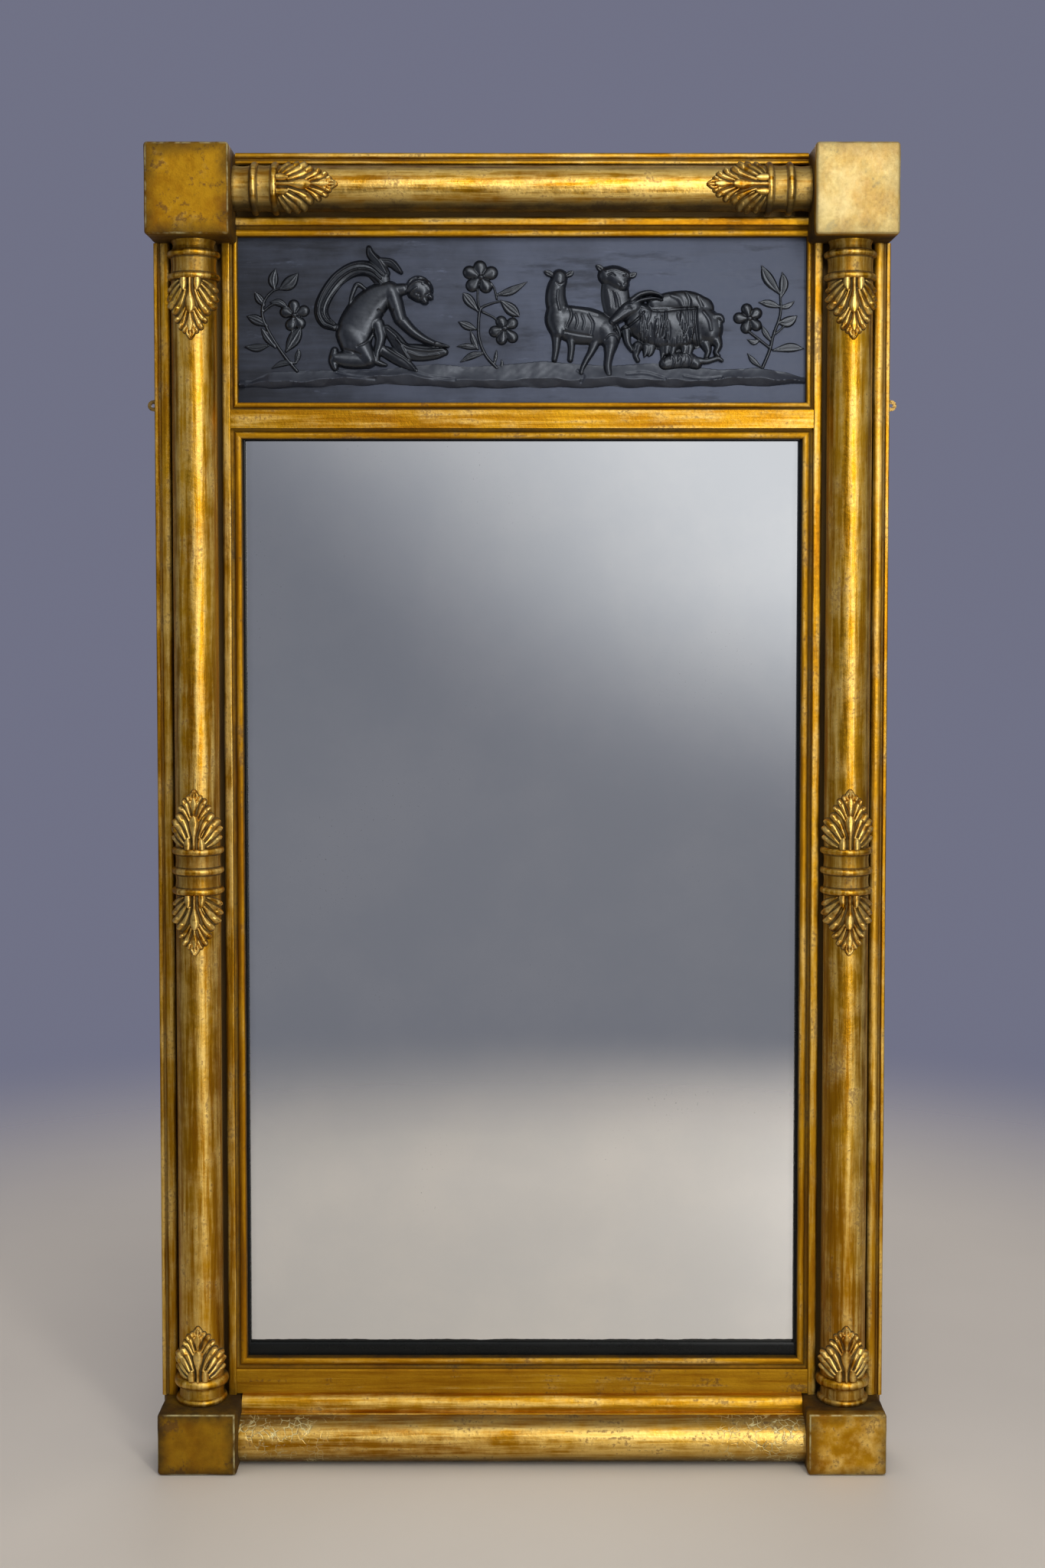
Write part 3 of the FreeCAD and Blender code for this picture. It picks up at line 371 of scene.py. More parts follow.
def pineFinish(name, run, gilded, shift):
    # run: which way the grain lies; gilded: the face and edges carry old gilding, the back is bare
    material, make, place = newFinish(name)
    stretch = pineLook[run]
    grain = make.noise(place, 1.0, 7.0, 0.62, stretch, shift)
    rings = make.noise(place, 1.0, 2.0, 0.5, tuple(value * 0.16 for value in stretch), shift) * 30.0
    cloud = make.noise(place, 5.0, 4.0, 0.6, (1, 1, 1), shift)
    line = make.between(abs(rings - make.math("ROUND", rings)), 0.0, 0.2)
    tint = 0.85 + 0.05 * (shift[0] % 5)
    tinted = [tuple(value * tint for value in pineLook[part]) for part in ("line", "wood")]
    colour = make.mix(line, *tinted)
    colour = make.mix(make.between(grain, 0.35, 0.7) * 0.6, colour, pineLook["grain"])
    colour = make.mix(make.between(cloud, 0.42, 0.68) * 0.6, colour, pineLook["stain"])
    rough = make.between(grain, 0.3, 0.7, 0.62, 0.85)
    metal = 0.0
    if gilded:
        face = fade(make, place, 1, 46, 38)
        # at the front, in the channel beside the column, the gilding is painted darker: painted shade
        hollow = fade(make, place, 1, 30, 20)
        leaf = make.between(cloud * 0.6 + grain * 0.4, 0.36, 0.62)
        gold = make.mix(leaf, pineLook["thinGold"], pineLook["gold"])
        gold = make.mix(hollow * 0.8, gold, pineLook["channelShade"])
        colour = make.mix(face, colour, gold)
        metal = face * 0.55
        rough = rough - face * 0.22
    normal = make.bump(grain * 0.7 + line * 0.2, 0.3, 0.001)
    make.surface({"Base Color": colour, "Roughness": rough, "Metallic": metal, "Normal": normal})
    return material


def metalFinish(name, base, dark, roughness):
    material, make, place = newFinish(name)
    tarnish = make.between(make.noise(place, 180.0, 5.0, 0.6), 0.42, 0.62)
    fine = make.noise(place, 900.0, 3.0, 0.6)
    rough = make.between(fine, 0.3, 0.7, *roughness)
    normal = make.bump(fine, 0.1, 0.0003)
    make.surface({"Base Color": make.mix(tarnish, base, dark), "Roughness": rough, "Metallic": 1.0, "Normal": normal})
    return material


brass = metalFinish("brass", (0.33, 0.21, 0.065), (0.09, 0.052, 0.018), (0.38, 0.6))
steel = metalFinish("steel", (0.30, 0.29, 0.28), (0.10, 0.065, 0.045), (0.35, 0.6))

# silver, clear glass, and a dark colour for lost silver and for a painted shadow
glassLook = {"sill": 134.0, "edge": 330, "silver": (0.80, 0.815, 0.83), "clear": (0.86, 0.865, 0.865),
             "lostAndShadow": (0.055, 0.055, 0.052)}


def glassFinish():
    material, make, place = newFinish("silveredGlass")
    sill, edge = glassLook["sill"], glassLook["edge"]
    wander = make.noise(place, 30.0, 5.0, 0.65)
    cloud = make.noise(place, 6.0, 5.0, 0.6)
    speck = make.noise(place, 420.0, 2.0, 0.5)
    # just above the bottom slip the glass is painted dark, a painted shadow; at the sides and in specks the silver is
    # lost
    foot = make.between(make.axis(place, 2) - wander * 0.004, (sill - 1.0) * mm, (sill - 2.2) * mm)
    rim = make.between(abs(make.axis(place, 0)) + wander * 0.010, (edge - 4) * mm, (edge + 6) * mm)
    fox = make.between(speck, 0.70, 0.74) * make.between(cloud, 0.52, 0.66)
    lossAndShadow = make.most(foot, rim * 0.12, fox * 0.5)
    haze = make.between(cloud, 0.35, 0.7)
    colour = make.mix(lossAndShadow, make.mix(haze, glassLook["silver"], glassLook["clear"]), glassLook["lostAndShadow"])
    rough = lossAndShadow * 0.35 + haze * 0.012 + 0.012
    make.surface({"Base Color": colour, "Roughness": rough, "Metallic": 1.0})
    return material


silveredGlass = glassFinish()
print("finishes made:", len(bpy.data.materials))


# Modelling by hand, in mm: drawLine, joinDoubles, cut and layField stay in edit mode, the rest end in object mode
hands = ((-1, "left"), (1, "right"))
sides = ("left", "right", "bottom", "top")
backDepth = 22  # where the gilt pieces end against the pine
joinGap = 0.02  # points nearer than this become one
turnSteps = 72


def startPiece(name):
    piece = bpy.context.object
    piece.name = name
    piece.data.name = name
    return piece


def pickOnly(piece):
    bpy.ops.object.select_all(action="DESELECT")
    bpy.context.view_layer.objects.active = piece
    piece.select_set(True)


def joinDoubles():
    bpy.ops.mesh.select_all(action="SELECT")
    bpy.ops.mesh.remove_doubles(threshold=joinGap * mm)


def drawLine(name, points):  # a line of edges, point to point, left in edit mode
    bpy.ops.object.select_all(action="DESELECT")
    bpy.ops.mesh.primitive_plane_add(size=mm, location=Vector(points[0]) * mm)
    bpy.ops.object.transform_apply(location=True)
    piece = startPiece(name)
    bpy.ops.object.mode_set(mode="EDIT")
    bpy.ops.mesh.select_all(action="SELECT")
    bpy.ops.mesh.merge(type="CENTER")
    for start, end in zip(points, points[1:]):
        step = (Vector(end) - Vector(start)) * mm
        bpy.ops.mesh.extrude_region_move(TRANSFORM_OT_translate={"value": step})
    return piece


def closeUp():
    joinDoubles()
    bpy.ops.mesh.normals_make_consistent(inside=False)
    bpy.ops.object.mode_set(mode="OBJECT")


def cut(point, normal):  # takes away what lies on the side the normal points to
    bpy.ops.mesh.select_all(action="SELECT")
    bpy.ops.mesh.bisect(plane_co=Vector(point) * mm, plane_no=normal, use_fill=True, clear_outer=True)


def turn(name, profile, centre, axis, spread):  # profile: out from the axis and along it
    piece = drawLine(name, [spread(out, along) for out, along in profile])
    bpy.ops.mesh.select_all(action="SELECT")
    bpy.ops.mesh.spin(steps=turnSteps, angle=2 * pi, center=Vector(centre) * mm, axis=axis)
    closeUp()
    bpy.ops.object.mode_set(mode="EDIT")
    cut((0, backDepth, 0), (0, 1, 0))
    bpy.ops.object.mode_set(mode="OBJECT")
    return piece


def extrudeOutline(name, outline, run):  # a closed outline drawn out along run
    piece = drawLine(name, outline + outline[:1])
    joinDoubles()
    bpy.ops.mesh.edge_face_add()
    bpy.ops.mesh.extrude_region_move(TRANSFORM_OT_translate={"value": Vector(run) * mm})
    closeUp()
    return piece


def applyModifier(piece, modifier):
    pickOnly(piece)
    bpy.ops.object.modifier_apply(modifier=modifier.name)


def unevenness(piece, size, depth):  # the hand-made look of gessoed wood
    texture = bpy.data.textures.new(piece.name + "Gesso", "CLOUDS")
    texture.noise_scale = size * mm
    texture.noise_depth = 2
    modifier = piece.modifiers.new("gesso", "DISPLACE")
    modifier.texture = texture
    modifier.texture_coords = "LOCAL"
    modifier.strength = depth * mm
    modifier.mid_level = 0.5
    applyModifier(piece, modifier)


def finishPiece(piece, material, stands, angle=40):
    pickOnly(piece)
    bpy.ops.object.shade_smooth_by_angle(angle=radians(angle))
    piece.data.materials.clear()
    piece.data.materials.append(material)
    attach(piece, "root")
    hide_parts(stands)


# Columns, as points out from the axis and along it, beads and hollows
ringLook = {"half": 3.8, "low": 27.0, "reach": 30.9, "hollow": 26.2, "gap": 4, "points": 11}
sideColumn = {
    "foot": [(0, 73.5), (26.8, 73.5)], "footBead": (77.25, 3.7, 27.2, 30.4, 9),
    "base": [(26.6, 81.3), (26.2, 84), (26.0, 89.5), (25.2, 92.2)], "baseBead": (98.95, 6.1, 25.6, 32.3, 15),
    "shaft": 105.4, "middle": (690.4, 714.2, 738), "upper": (1413.3, 1440),
    "neck": (1444.2, 1455.2, 26.0, 24.2), "head": [(26.0, 1456), (0, 1456)],
}
topColumn = {"rings": (289, 313), "neck": (317.2, 337.4, 26.6, 25.4), "end": [(26.2, 338), (0, 338)]}


def bead(along, half, low, reach, count):  # a turned ring's outline
    angles = [pi * step / (count - 1) for step in range(count)]
    return [(low + (reach - low) * sin(angle) ** 0.85, along - half * cos(angle)) for angle in angles]


def hollowed(start, end, outer, inner, count=7):  # a turned hollow's outline
    return [(outer - (outer - inner) * sin(pi * step / (count - 1)), start + (end - start) * step / (count - 1))
            for step in range(count)]


def ringed(places):  # rings at the places, with hollows between them
    half, low, reach, hollow, gap, points = ringLook.values()
    line = []
    for index, along in enumerate(places):
        if index:
            line += hollowed(places[index - 1] + gap, along - gap, low, hollow)
        line += bead(along, half, low, reach, points)
    return line


def shaftRun(start, end):
    count = max(2, int((end - start) / 40))
    return [(columnLook["shaft"], start + (end - start) * step / count) for step in range(count + 1)]


def sideProfile():
    middle, upper, gap = sideColumn["middle"], sideColumn["upper"], ringLook["gap"]
    line = sideColumn["foot"] + bead(*sideColumn["footBead"]) + sideColumn["base"] + bead(*sideColumn["baseBead"])
    line += shaftRun(sideColumn["shaft"], middle[0] - gap) + ringed(middle)
    line += shaftRun(middle[-1] + gap, upper[0] - gap) + ringed(upper)
    return line + hollowed(*sideColumn["neck"]) + sideColumn["head"]


def topProfile():
    rings = topColumn["rings"]
    half = shaftRun(0, rings[0] - ringLook["gap"]) + ringed(rings)
    half += hollowed(*topColumn["neck"]) + topColumn["end"]
    return [(out, -along) for out, along in reversed(half[1:])] + half


for side, hand in hands:
    centre = (side * columnLook["x"], columnLook["y"], 0)
    piece = turn("column." + hand, sideProfile(), centre, (0, 0, 1),
                 lambda out, along: (centre[0] + out, centre[1], along))
    finishPiece(piece, giltColumn, "column_" + hand, 50)
centre = (0, columnLook["y"], columnLook["topZ"])
piece = turn("topColumn", topProfile(), centre, (1, 0, 0), lambda out, along: (along, centre[1], centre[2] + out))
finishPiece(piece, giltTopColumn, "top_column", 50)
print("columns turned")

# Corner blocks: inner and outer side, foot and head
blockLook = {"top": (338, 435.5, 1456, 1562), "bottom": (338, 431.5, 0, 73.5), "depth": (-52, backDepth),
             "edge": 4.2, "rounds": 4, "cuts": 9, "dent": 0.9, "dentSize": 22}


def block(name, side, kind, material, stands):
    inner, outer, low, high = blockLook[kind]
    front, back = blockLook["depth"]
    middle = (side * (inner + outer) / 2 * mm, (front + back) / 2 * mm, (low + high) / 2 * mm)
    size = ((outer - inner) * mm, (back - front) * mm, (high - low) * mm)
    bpy.ops.object.select_all(action="DESELECT")
    bpy.ops.mesh.primitive_cube_add(size=1, location=middle, scale=size)
    bpy.ops.object.transform_apply(location=True, rotation=True, scale=True)
    piece = startPiece(name)
    bevel = piece.modifiers.new("worn edge", "BEVEL")
    bevel.width = blockLook["edge"] * mm
    bevel.segments = blockLook["rounds"]
    applyModifier(piece, bevel)
    bpy.ops.object.mode_set(mode="EDIT")
    bpy.ops.mesh.select_all(action="SELECT")
    bpy.ops.mesh.subdivide(number_cuts=blockLook["cuts"])
    bpy.ops.object.mode_set(mode="OBJECT")
    unevenness(piece, blockLook["dentSize"], blockLook["dent"])
    finishPiece(piece, material, stands, 60)


# left blocks take the shaded copies, right blocks the lit ones
blockGilt = {"left": (giltShadedBlock, giltShadedFoot), "right": (giltLitBlock, giltLitFoot)}
for side, hand in hands:
    for kind, material in zip(("top", "bottom"), blockGilt[hand]):
        block(kind + "Block." + hand, side, kind, material, kind + "_block_" + hand)
print("blocks shaped")


# Straight mouldings, each an outline of distance across and depth
def arc(centre, radius, start, end, count):
    angles = [radians(start + (end - start) * step / count) for step in range(count + 1)]
    return [(centre[0] + radius[0] * cos(angle), centre[1] + radius[1] * sin(angle)) for angle in angles]


def edgeMoulding(width):  # a flat fillet, a sunk quirk and a rounded band, from the outer edge inwards
    fillet, quirk, face, sunk, rise = mouldingLook["edge"]
    half = (width - fillet - quirk) / 2
    line = [(0, backDepth), (0, face + 1.2), (1.2, face), (fillet - 1, face), (fillet, face + 1), (fillet, sunk)]
    return line + arc((fillet + quirk + half, sunk), (half, rise), 180, 360, 10) + [(width, backDepth)]


def bandMoulding(width):  # one broad band, rounded over at both edges
    (outWide, outRise, outDepth), (inWide, inRise, inDepth) = mouldingLook["band"]
    line = [(0, backDepth)] + arc((outWide, outDepth), (outWide, outRise), 180, 270, 5)
    return line + arc((width - inWide, inDepth), (inWide, inRise), 270, 360, 7) + [(width, backDepth)]


def headMoulding(width):  # two rounded bands with a quirk between them
    roll, quirk, sunk, outRise, inRise = mouldingLook["head"]
    half = (width - roll - quirk) / 2
    line = [(0, backDepth)] + arc((roll / 2, sunk), (roll / 2, outRise), 180, 360, 10)
    return line + arc((width - half, sunk), (half, inRise), 180, 360, 10) + [(width, backDepth)]


mouldingLook = {
    "outer": (435.5, 416, edgeMoulding), "inner": (345.5, 356, bandMoulding),
    "topOuter": (1562, 1547.5, headMoulding), "topInner": (1477, 1487.5, bandMoulding),
    "edge": (5.0, 2.2, 8, 11, 3.0), "band": ((1.6, 1.7, 9.8), (3.4, 2.9, 11.6)), "head": (7.2, 1.6, 11, 3.0, 2.6),
    "span": (73.5, 1456), "topSpan": 338,
}


def mouldingLine(kind):
    start, end, shape = mouldingLook[kind]
    step = 1 if end > start else -1
    return [(start + step * across, depth) for across, depth in shape(abs(end - start))]


def levelPiece(name, half, outline, stands, material, angle=40):  # outline: depth and height
    piece = extrudeOutline(name, [(-half, depth, height) for depth, height in outline], (2 * half, 0, 0))
    finishPiece(piece, material, stands, angle)


low, high = mouldingLook["span"]
for side, hand in hands:
    for kind in ("outer", "inner"):
        outline = [(side * across, depth, low) for across, depth in mouldingLine(kind)]
        piece = extrudeOutline(kind + "Moulding." + hand, outline, (0, 0, high - low))
        finishPiece(piece, giltUpright, kind + "_moulding_" + hand)
for kind, stands in (("topOuter", "top_outer_moulding"), ("topInner", "top_inner_moulding")):
    outline = [(depth, height) for height, depth in mouldingLine(kind)]
    levelPiece(kind + "Moulding", mouldingLook["topSpan"], outline, stands, giltLevel)

# Mouldings along the bottom, as outlines of depth and height
bandLook = {"half": 345.5, "line": [(backDepth, 75.7), (8, 75.7), (8, 103), (9.5, 104.5), (backDepth, 104.5)]}
levelPiece("bottomBand", bandLook["half"], bandLook["line"], "bottom_band", giltBand)

beadLook = {"half": 338, "ledge": [(backDepth, 56.5), (-10, 56.5), (-10, 57.0), (-9.4, 57.6), (-1, 57.6)],
            "middle": (6, 61.4), "radius": (10.5, 14.3), "start": 198, "head": [(backDepth, 75.7)]}
outline = beadLook["ledge"] + arc(beadLook["middle"], beadLook["radius"], beadLook["start"], 90, 18) + beadLook["head"]
levelPiece("bottomBead", beadLook["half"], outline, "bottom_bead", giltLevel)

halfRoundLook = {"half": 338, "middle": (-9.5, 29), "radius": 27.5}
half, centre, radius = halfRoundLook.values()
outline = [(backDepth, centre[1] - radius)] + arc(centre, (radius, radius), 270, 90, 40)
outline += [(backDepth, centre[1] + radius)]
levelPiece("bottomHalfRound", half, outline, "bottom_half_round", giltHalfRound, 50)
print("mouldings run")


# Sight mouldings and slips, mitred at the corners
def mitred(name, side, outer, widths, profile, material, stands):
    # outer: left, right, low, high; widths: same order; profile: share across from the outer edge, and depth
    left, right, low, high = outer
    inLeft, inRight, inLow, inHigh = left + widths[0], right - widths[1], low + widths[2], high - widths[3]
    spare = 5
    upright = side in ("left", "right")
    if upright:
        start, end = (left, inLeft) if side == "left" else (right, inRight)
        outline = [(start + (end - start) * share, depth, low - spare) for share, depth in profile]
        run = (0, 0, high - low + 2 * spare)
        ends = [((start, low), (end, inLow), -1), ((start, high), (end, inHigh), 1)]
    else:
        start, end = (low, inLow) if side == "bottom" else (high, inHigh)
        outline = [(left - spare, depth, start + (end - start) * share) for share, depth in profile]
        run = (right - left + 2 * spare, 0, 0)
        ends = [((left, start), (inLeft, end), -1), ((right, start), (inRight, end), 1)]
    piece = extrudeOutline(name, outline, run)
    bpy.ops.object.mode_set(mode="EDIT")
    for first, second, outward in ends:
        normal = Vector((second[1] - first[1], 0, first[0] - second[0])).normalized()
        facing = 1 if (normal.z if upright else normal.x) * outward > 0 else -1
        cut((first[0], 0, first[1]), normal * facing)
    closeUp()
    finishPiece(piece, material, stands)


sightLook = {"back": 24, "front": 13.0, "sunk": 15.6, "fillet": 0.3,
             "frieze": ((-345.5, 345.5, 1260.2, 1477), (8, 8, 9.5, 12)),
             "plate": ((-345.5, 345.5, 104.5, 1238.8), (12, 12, 12, 12))}
back, front, sunk, fillet = (sightLook[part] for part in ("back", "front", "sunk", "fillet"))
sightLine = [(0, back), (0, sunk - 1.0), (fillet, sunk)]
sightLine += arc(((1 + fillet) / 2, sunk), ((1 - fillet) / 2, sunk - front), 180, 360, 14)[1:] + [(1, back)]
for opening in ("frieze", "plate"):
    outer, widths = sightLook[opening]
    for side in sides:
        material = giltSightUpright if side in ("left", "right") else giltSightLevel
        mitred(opening + "Sight." + side, side, outer, widths, sightLine, material,
               opening + "_sight_" + side)

slipLook = {"line": [(0, 29), (0, 24), (0.86, 24), (0.95, 24.3), (1, 25), (1, 29)], "lowered": 5}
slipBoxes = [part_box("slip_" + side) for side in sides]
slipOuter = [slipBoxes[0][0].x / mm, slipBoxes[1][1].x / mm, slipBoxes[2][0].z / mm, slipBoxes[3][1].z / mm]
slipWidths = [(box[1] - box[0])[axis] / mm for box, axis in zip(slipBoxes, (0, 0, 2, 2))]
slipWidths[2] -= slipLook["lowered"]  # less of the bottom slip is seen than the CAD one shows
for side in sides:
    mitred("slip." + side, side, slipOuter, slipWidths, slipLook["line"], slipBlack, "slip_" + side)
print("sights and slips mitred")


# The frieze is drawn in strokes, in mm from the panel's middle and above its sill: rise, then points with half widths
def swell(rise, *points):
    return "swell", rise, points


def ridge(rise, *points):
    return "ridge", rise, points


def crease(rise, *points):
    return "crease", rise, points


def blade(rise, *points):
    return "blade", rise, points


def leaf(rise, stalk, middle, tip):
    return blade(rise, (*stalk, 1.2), middle, (*tip, 0.5))


def flower(rise, x, z, wide, *tips):  # a petal toward each tip, round a raised eye
    forms = []
    for tipX, tipZ in tips:
        line = [(x + (tipX - x) * out, z + (tipZ - z) * out, wide * share)
                for out, share in ((0.30, 0.55), (0.66, 1.12), (0.76, 1.0))]
        forms.append(("petal", rise, [[round(value, 1) for value in point] for point in line]))
    eye = [[round(value, 1) for value in (x + beside, z, 3.8)] for beside in (-0.7, 0.7)]
    return forms + [swell(rise * 1.4, *eye)]


# along the ground: x, where it leaves the panel, its lip, its foot
groundShelf = [
    (-321.9, 27.3, 21.8, 16.2), (-301.5, 36.7, 25.1, 15.1), (-256.4, 38, 25.6, 15.8),
    (-220.2, 39.6, 28.5, 17.3), (-175, 38.9, 31.8, 18), (-132.1, 44, 32.2, 17.1),
    (-102.7, 46.2, 28.5, 15.8), (-64.3, 42.9, 26, 15.1), (-19.2, 45.6, 27.3, 14.5),
    (25.2, 49.6, 28.5, 14.5), (65.9, 46.2, 27.8, 14.5), (104.3, 44, 29.6, 14.9), (156.3, 47.3, 27.8, 14.9),
    (201.4, 42.9, 26, 15.8), (235.3, 39.6, 29.1, 17.1), (280.5, 41.8, 29.1, 16.7),
    (314.4, 36.7, 27.8, 18.9), (332.4, 30.7, 26.2, 22.5),
]
groundForms = [
    ridge(1.1, (-98.2, 39.6, 14), (-84.7, 42.4, 16.8)),
    ridge(0.8, (-125.3, 40.7, 11.2), (-114, 37.3, 12.3)),
    ridge(0.7, (-297, 32.9, 11.2), (-274.4, 34.4, 13.4)),
    ridge(0.7, (-240.5, 35.8, 11.2), (-213.4, 34.9, 13.4)),
    ridge(1, (-21.4, 41.8, 16.8), (-1.1, 40.7, 15.1)),
    ridge(1.1, (20.7, 44, 17.9), (45.6, 44.7, 19.6)),
    ridge(0.9, (115.6, 42.4, 14), (133.7, 39.6, 15.1)),
    ridge(0.8, (142.7, 37.3, 10.1), (165.3, 34, 11.2)),
    ridge(1, (276, 38, 15.1), (291.8, 38.9, 16.2)),
    ridge(0.7, (228.5, 35.8, 12.3), (246.6, 34.9, 12.3)),
    crease(1.3, (-220.2, 36.2, 2.7), (-202.1, 31.3, 3.2), (-175, 28.5, 2.7)),
    crease(1.3, (-134.4, 39.6, 2.7), (-111.8, 30.7, 3.6), (-80.2, 27.3, 2.7)),
    crease(1.3, (65.9, 38.4, 2.7), (72.7, 31.8, 3.2), (70.4, 25.1, 2.7)),
    crease(1.3, (124.6, 34, 2.7), (147.2, 35.1, 3.2), (169.8, 28.5, 2.7)),
    crease(1.3, (192.4, 31.8, 2.3), (215, 28.5, 2.7), (237.6, 30.7, 2.3)),
]
childForms = [
    swell(9, (-157.6, 132.7, 11.4), (-174, 122.2, 17.1), (-189.3, 104.6, 20.4), (-198.2, 85.9, 21.4),
          (-198.2, 75.4, 18.5)),
    swell(9.5, (-204.6, 81.2, 16.6), (-202.9, 69.6, 13.8)),
    swell(10, (-198.7, 76.6, 15.2), (-189.3, 62.5, 11.9), (-181.8, 50.8, 9)),
    swell(7.5, (-183.4, 48.5, 7.6), (-198.7, 50.4, 10), (-212.8, 51.6, 9.5), (-222.2, 53.2, 6.6)),
    swell(6, (-223.1, 62.1, 4.7), (-225, 50.8, 5.7), (-222.7, 41.5, 4.3)),
    swell(6, (-172.4, 92.9, 8.5), (-168.6, 76.6, 6.6), (-172.4, 60.2, 5), (-173.8, 49.7, 4.3)),
    swell(5, (-175.2, 49.7, 4.3), (-168.1, 46.6, 3.6), (-162, 45, 2.1)),
    swell(9.5, (-155, 129.9, 10.4), (-150.3, 116.3, 9.3), (-145.1, 99.9, 7.8)),
    swell(8, (-145.1, 99.9, 7.8), (-130.6, 84.8, 6.4), (-116.5, 75.4, 5), (-105.9, 70.7, 4)),
    swell(5.5, (-107.1, 70.7, 4), (-96.5, 68.6, 3.1), (-87.8, 66.7, 1.7)),
    swell(7, (-154.1, 132.2, 8.5), (-141.1, 134.6, 7.1)),
    swell(10.5, (-123.5, 135.5, 14.7), (-120.2, 133.1, 14.2)),
    swell(8.5, (-109.9, 125.7, 4.7), (-107.5, 123.8, 2.6)),
    swell(7.5, (-116, 121, 5.2), (-114.6, 119.6, 3.8)),
    ridge(2, (-136.4, 139.7, 2.1), (-130.6, 146.7, 2.1), (-121.6, 149.5, 1.9)),
    ridge(2, (-136.9, 131.5, 2.1), (-131.7, 139.2, 2.1), (-124, 143, 2.1), (-116.5, 142.5, 1.9)),
    ridge(2, (-123, 148.6, 2.1), (-114.1, 147.2, 2.1), (-108.5, 140.6, 1.9)),
    ridge(1.8, (-134.8, 124.5, 2.1), (-130.6, 131.3, 2.1), (-124.7, 135, 1.9)),
    ridge(1, (-117.6, 140.2, 2.4), (-111.8, 137.8, 2.4), (-108.9, 132.7, 1.9)),
    crease(1.3, (-124.7, 128.5, 1.7), (-121.6, 127.5, 1.9), (-121.2, 124.3, 1.7)),
    crease(0.9, (-114.1, 127.5, 1.4), (-110.8, 127.5, 1.4)),
    crease(1.6, (-195.2, 66, 2.1), (-184.6, 71.9, 2.4), (-176.4, 85.9, 2.4)),
    crease(1.2, (-170.5, 109.3, 2.1), (-161.1, 104.6, 2.4), (-152.9, 109.3, 2.1)),
    crease(1.1, (-210.4, 62.5, 1.9), (-201, 60.2, 2.1), (-192.1, 56.7, 1.9)),
    swell(4, (-167, 146.7, 9.5), (-179.9, 157.9, 9), (-198.7, 158.4, 8.8), (-217.5, 147.9, 8.3),
          (-231.6, 129.9, 8.3), (-239.1, 111.2, 8.3), (-234.9, 97.1, 7.6), (-223.6, 90.1, 4.7)),
    ridge(2.6, (-165.8, 151.4, 1.9), (-180.8, 163.5, 1.9), (-200.1, 164, 1.9), (-220.3, 152.8, 1.9),
          (-235.8, 132.7, 1.9), (-243.3, 111.2, 1.9), (-237.7, 94.3, 1.9), (-225, 88.3, 1.4)),
    ridge(2.6, (-167.7, 146.7, 1.7), (-180.4, 157, 1.7), (-198.2, 157.5, 1.7), (-216.1, 146.7, 1.7),
          (-230.2, 128.9, 1.7), (-237.7, 111.2, 1.7), (-233.5, 98.1, 1.7), (-223.1, 92, 1.4)),
    ridge(2.6, (-168.1, 141.6, 1.7), (-179.9, 151.4, 1.7), (-196.3, 151.9, 1.7), (-211.8, 141.6, 1.7),
          (-225.9, 125.2, 1.7), (-232.5, 109.8, 1.7), (-229.7, 99.9, 1.7), (-222.2, 95.3, 1.4)),
    swell(4.6, (-163, 153.3, 6.2), (-170.5, 165.4, 6.4), (-179.4, 175.2, 5.2), (-181.8, 183.2, 3.3)),
    swell(4.2, (-168.6, 167.8, 4.7), (-155.9, 165.4, 5.2), (-148.9, 159.3, 4.3), (-143.7, 154.2, 2.6)),
    ridge(1.3, (-161.6, 153.7, 1.9), (-168.6, 165.9, 1.9), (-177.5, 176.2, 1.9), (-180.8, 182.7, 1.4)),
    ridge(1.3, (-168.1, 170.1, 1.9), (-155.5, 168.2, 1.9), (-147, 159.8, 1.7), (-144.2, 154.7, 1.2)),
    swell(3, (-185.8, 134.6, 2.1), (-195.9, 140.2, 3.1), (-202, 128, 2.6), (-204.8, 117.2, 1.7)),
    swell(4.6, (-161.1, 87.8, 5.2), (-151.7, 76.6, 7.6), (-140, 62.5, 9), (-123.5, 59.7, 10),
          (-104.7, 59.7, 8.1), (-92, 60.2, 4.3)),
    swell(4.2, (-165.8, 62.1, 6.6), (-151.7, 55.1, 8.1), (-137.6, 45.7, 6.2), (-125.9, 38, 3.3)),
    ridge(1.5, (-160.6, 87.3, 2.1), (-148.9, 76.6, 2.4), (-140, 60.2, 2.4), (-128.2, 41.5, 1.9)),
    ridge(1.5, (-149.8, 75.4, 2.1), (-136.4, 66, 2.4), (-114.1, 62.1, 2.4), (-93.4, 63.5, 1.7)),
    ridge(1.3, (-161.1, 64.9, 1.9), (-150.3, 57.9, 2.1), (-138.5, 50.8, 2.1), (-127.3, 39.2, 1.7)),
    ridge(1.2, (-135.3, 59.7, 1.9), (-120, 55.1, 2.1), (-100, 57.4, 1.7)),
    crease(0.7, (-103.3, 70.5, 0.9), (-93, 69.6, 0.9)),
    crease(0.7, (-103.3, 68.2, 0.9), (-92.5, 67.2, 0.9)),
]
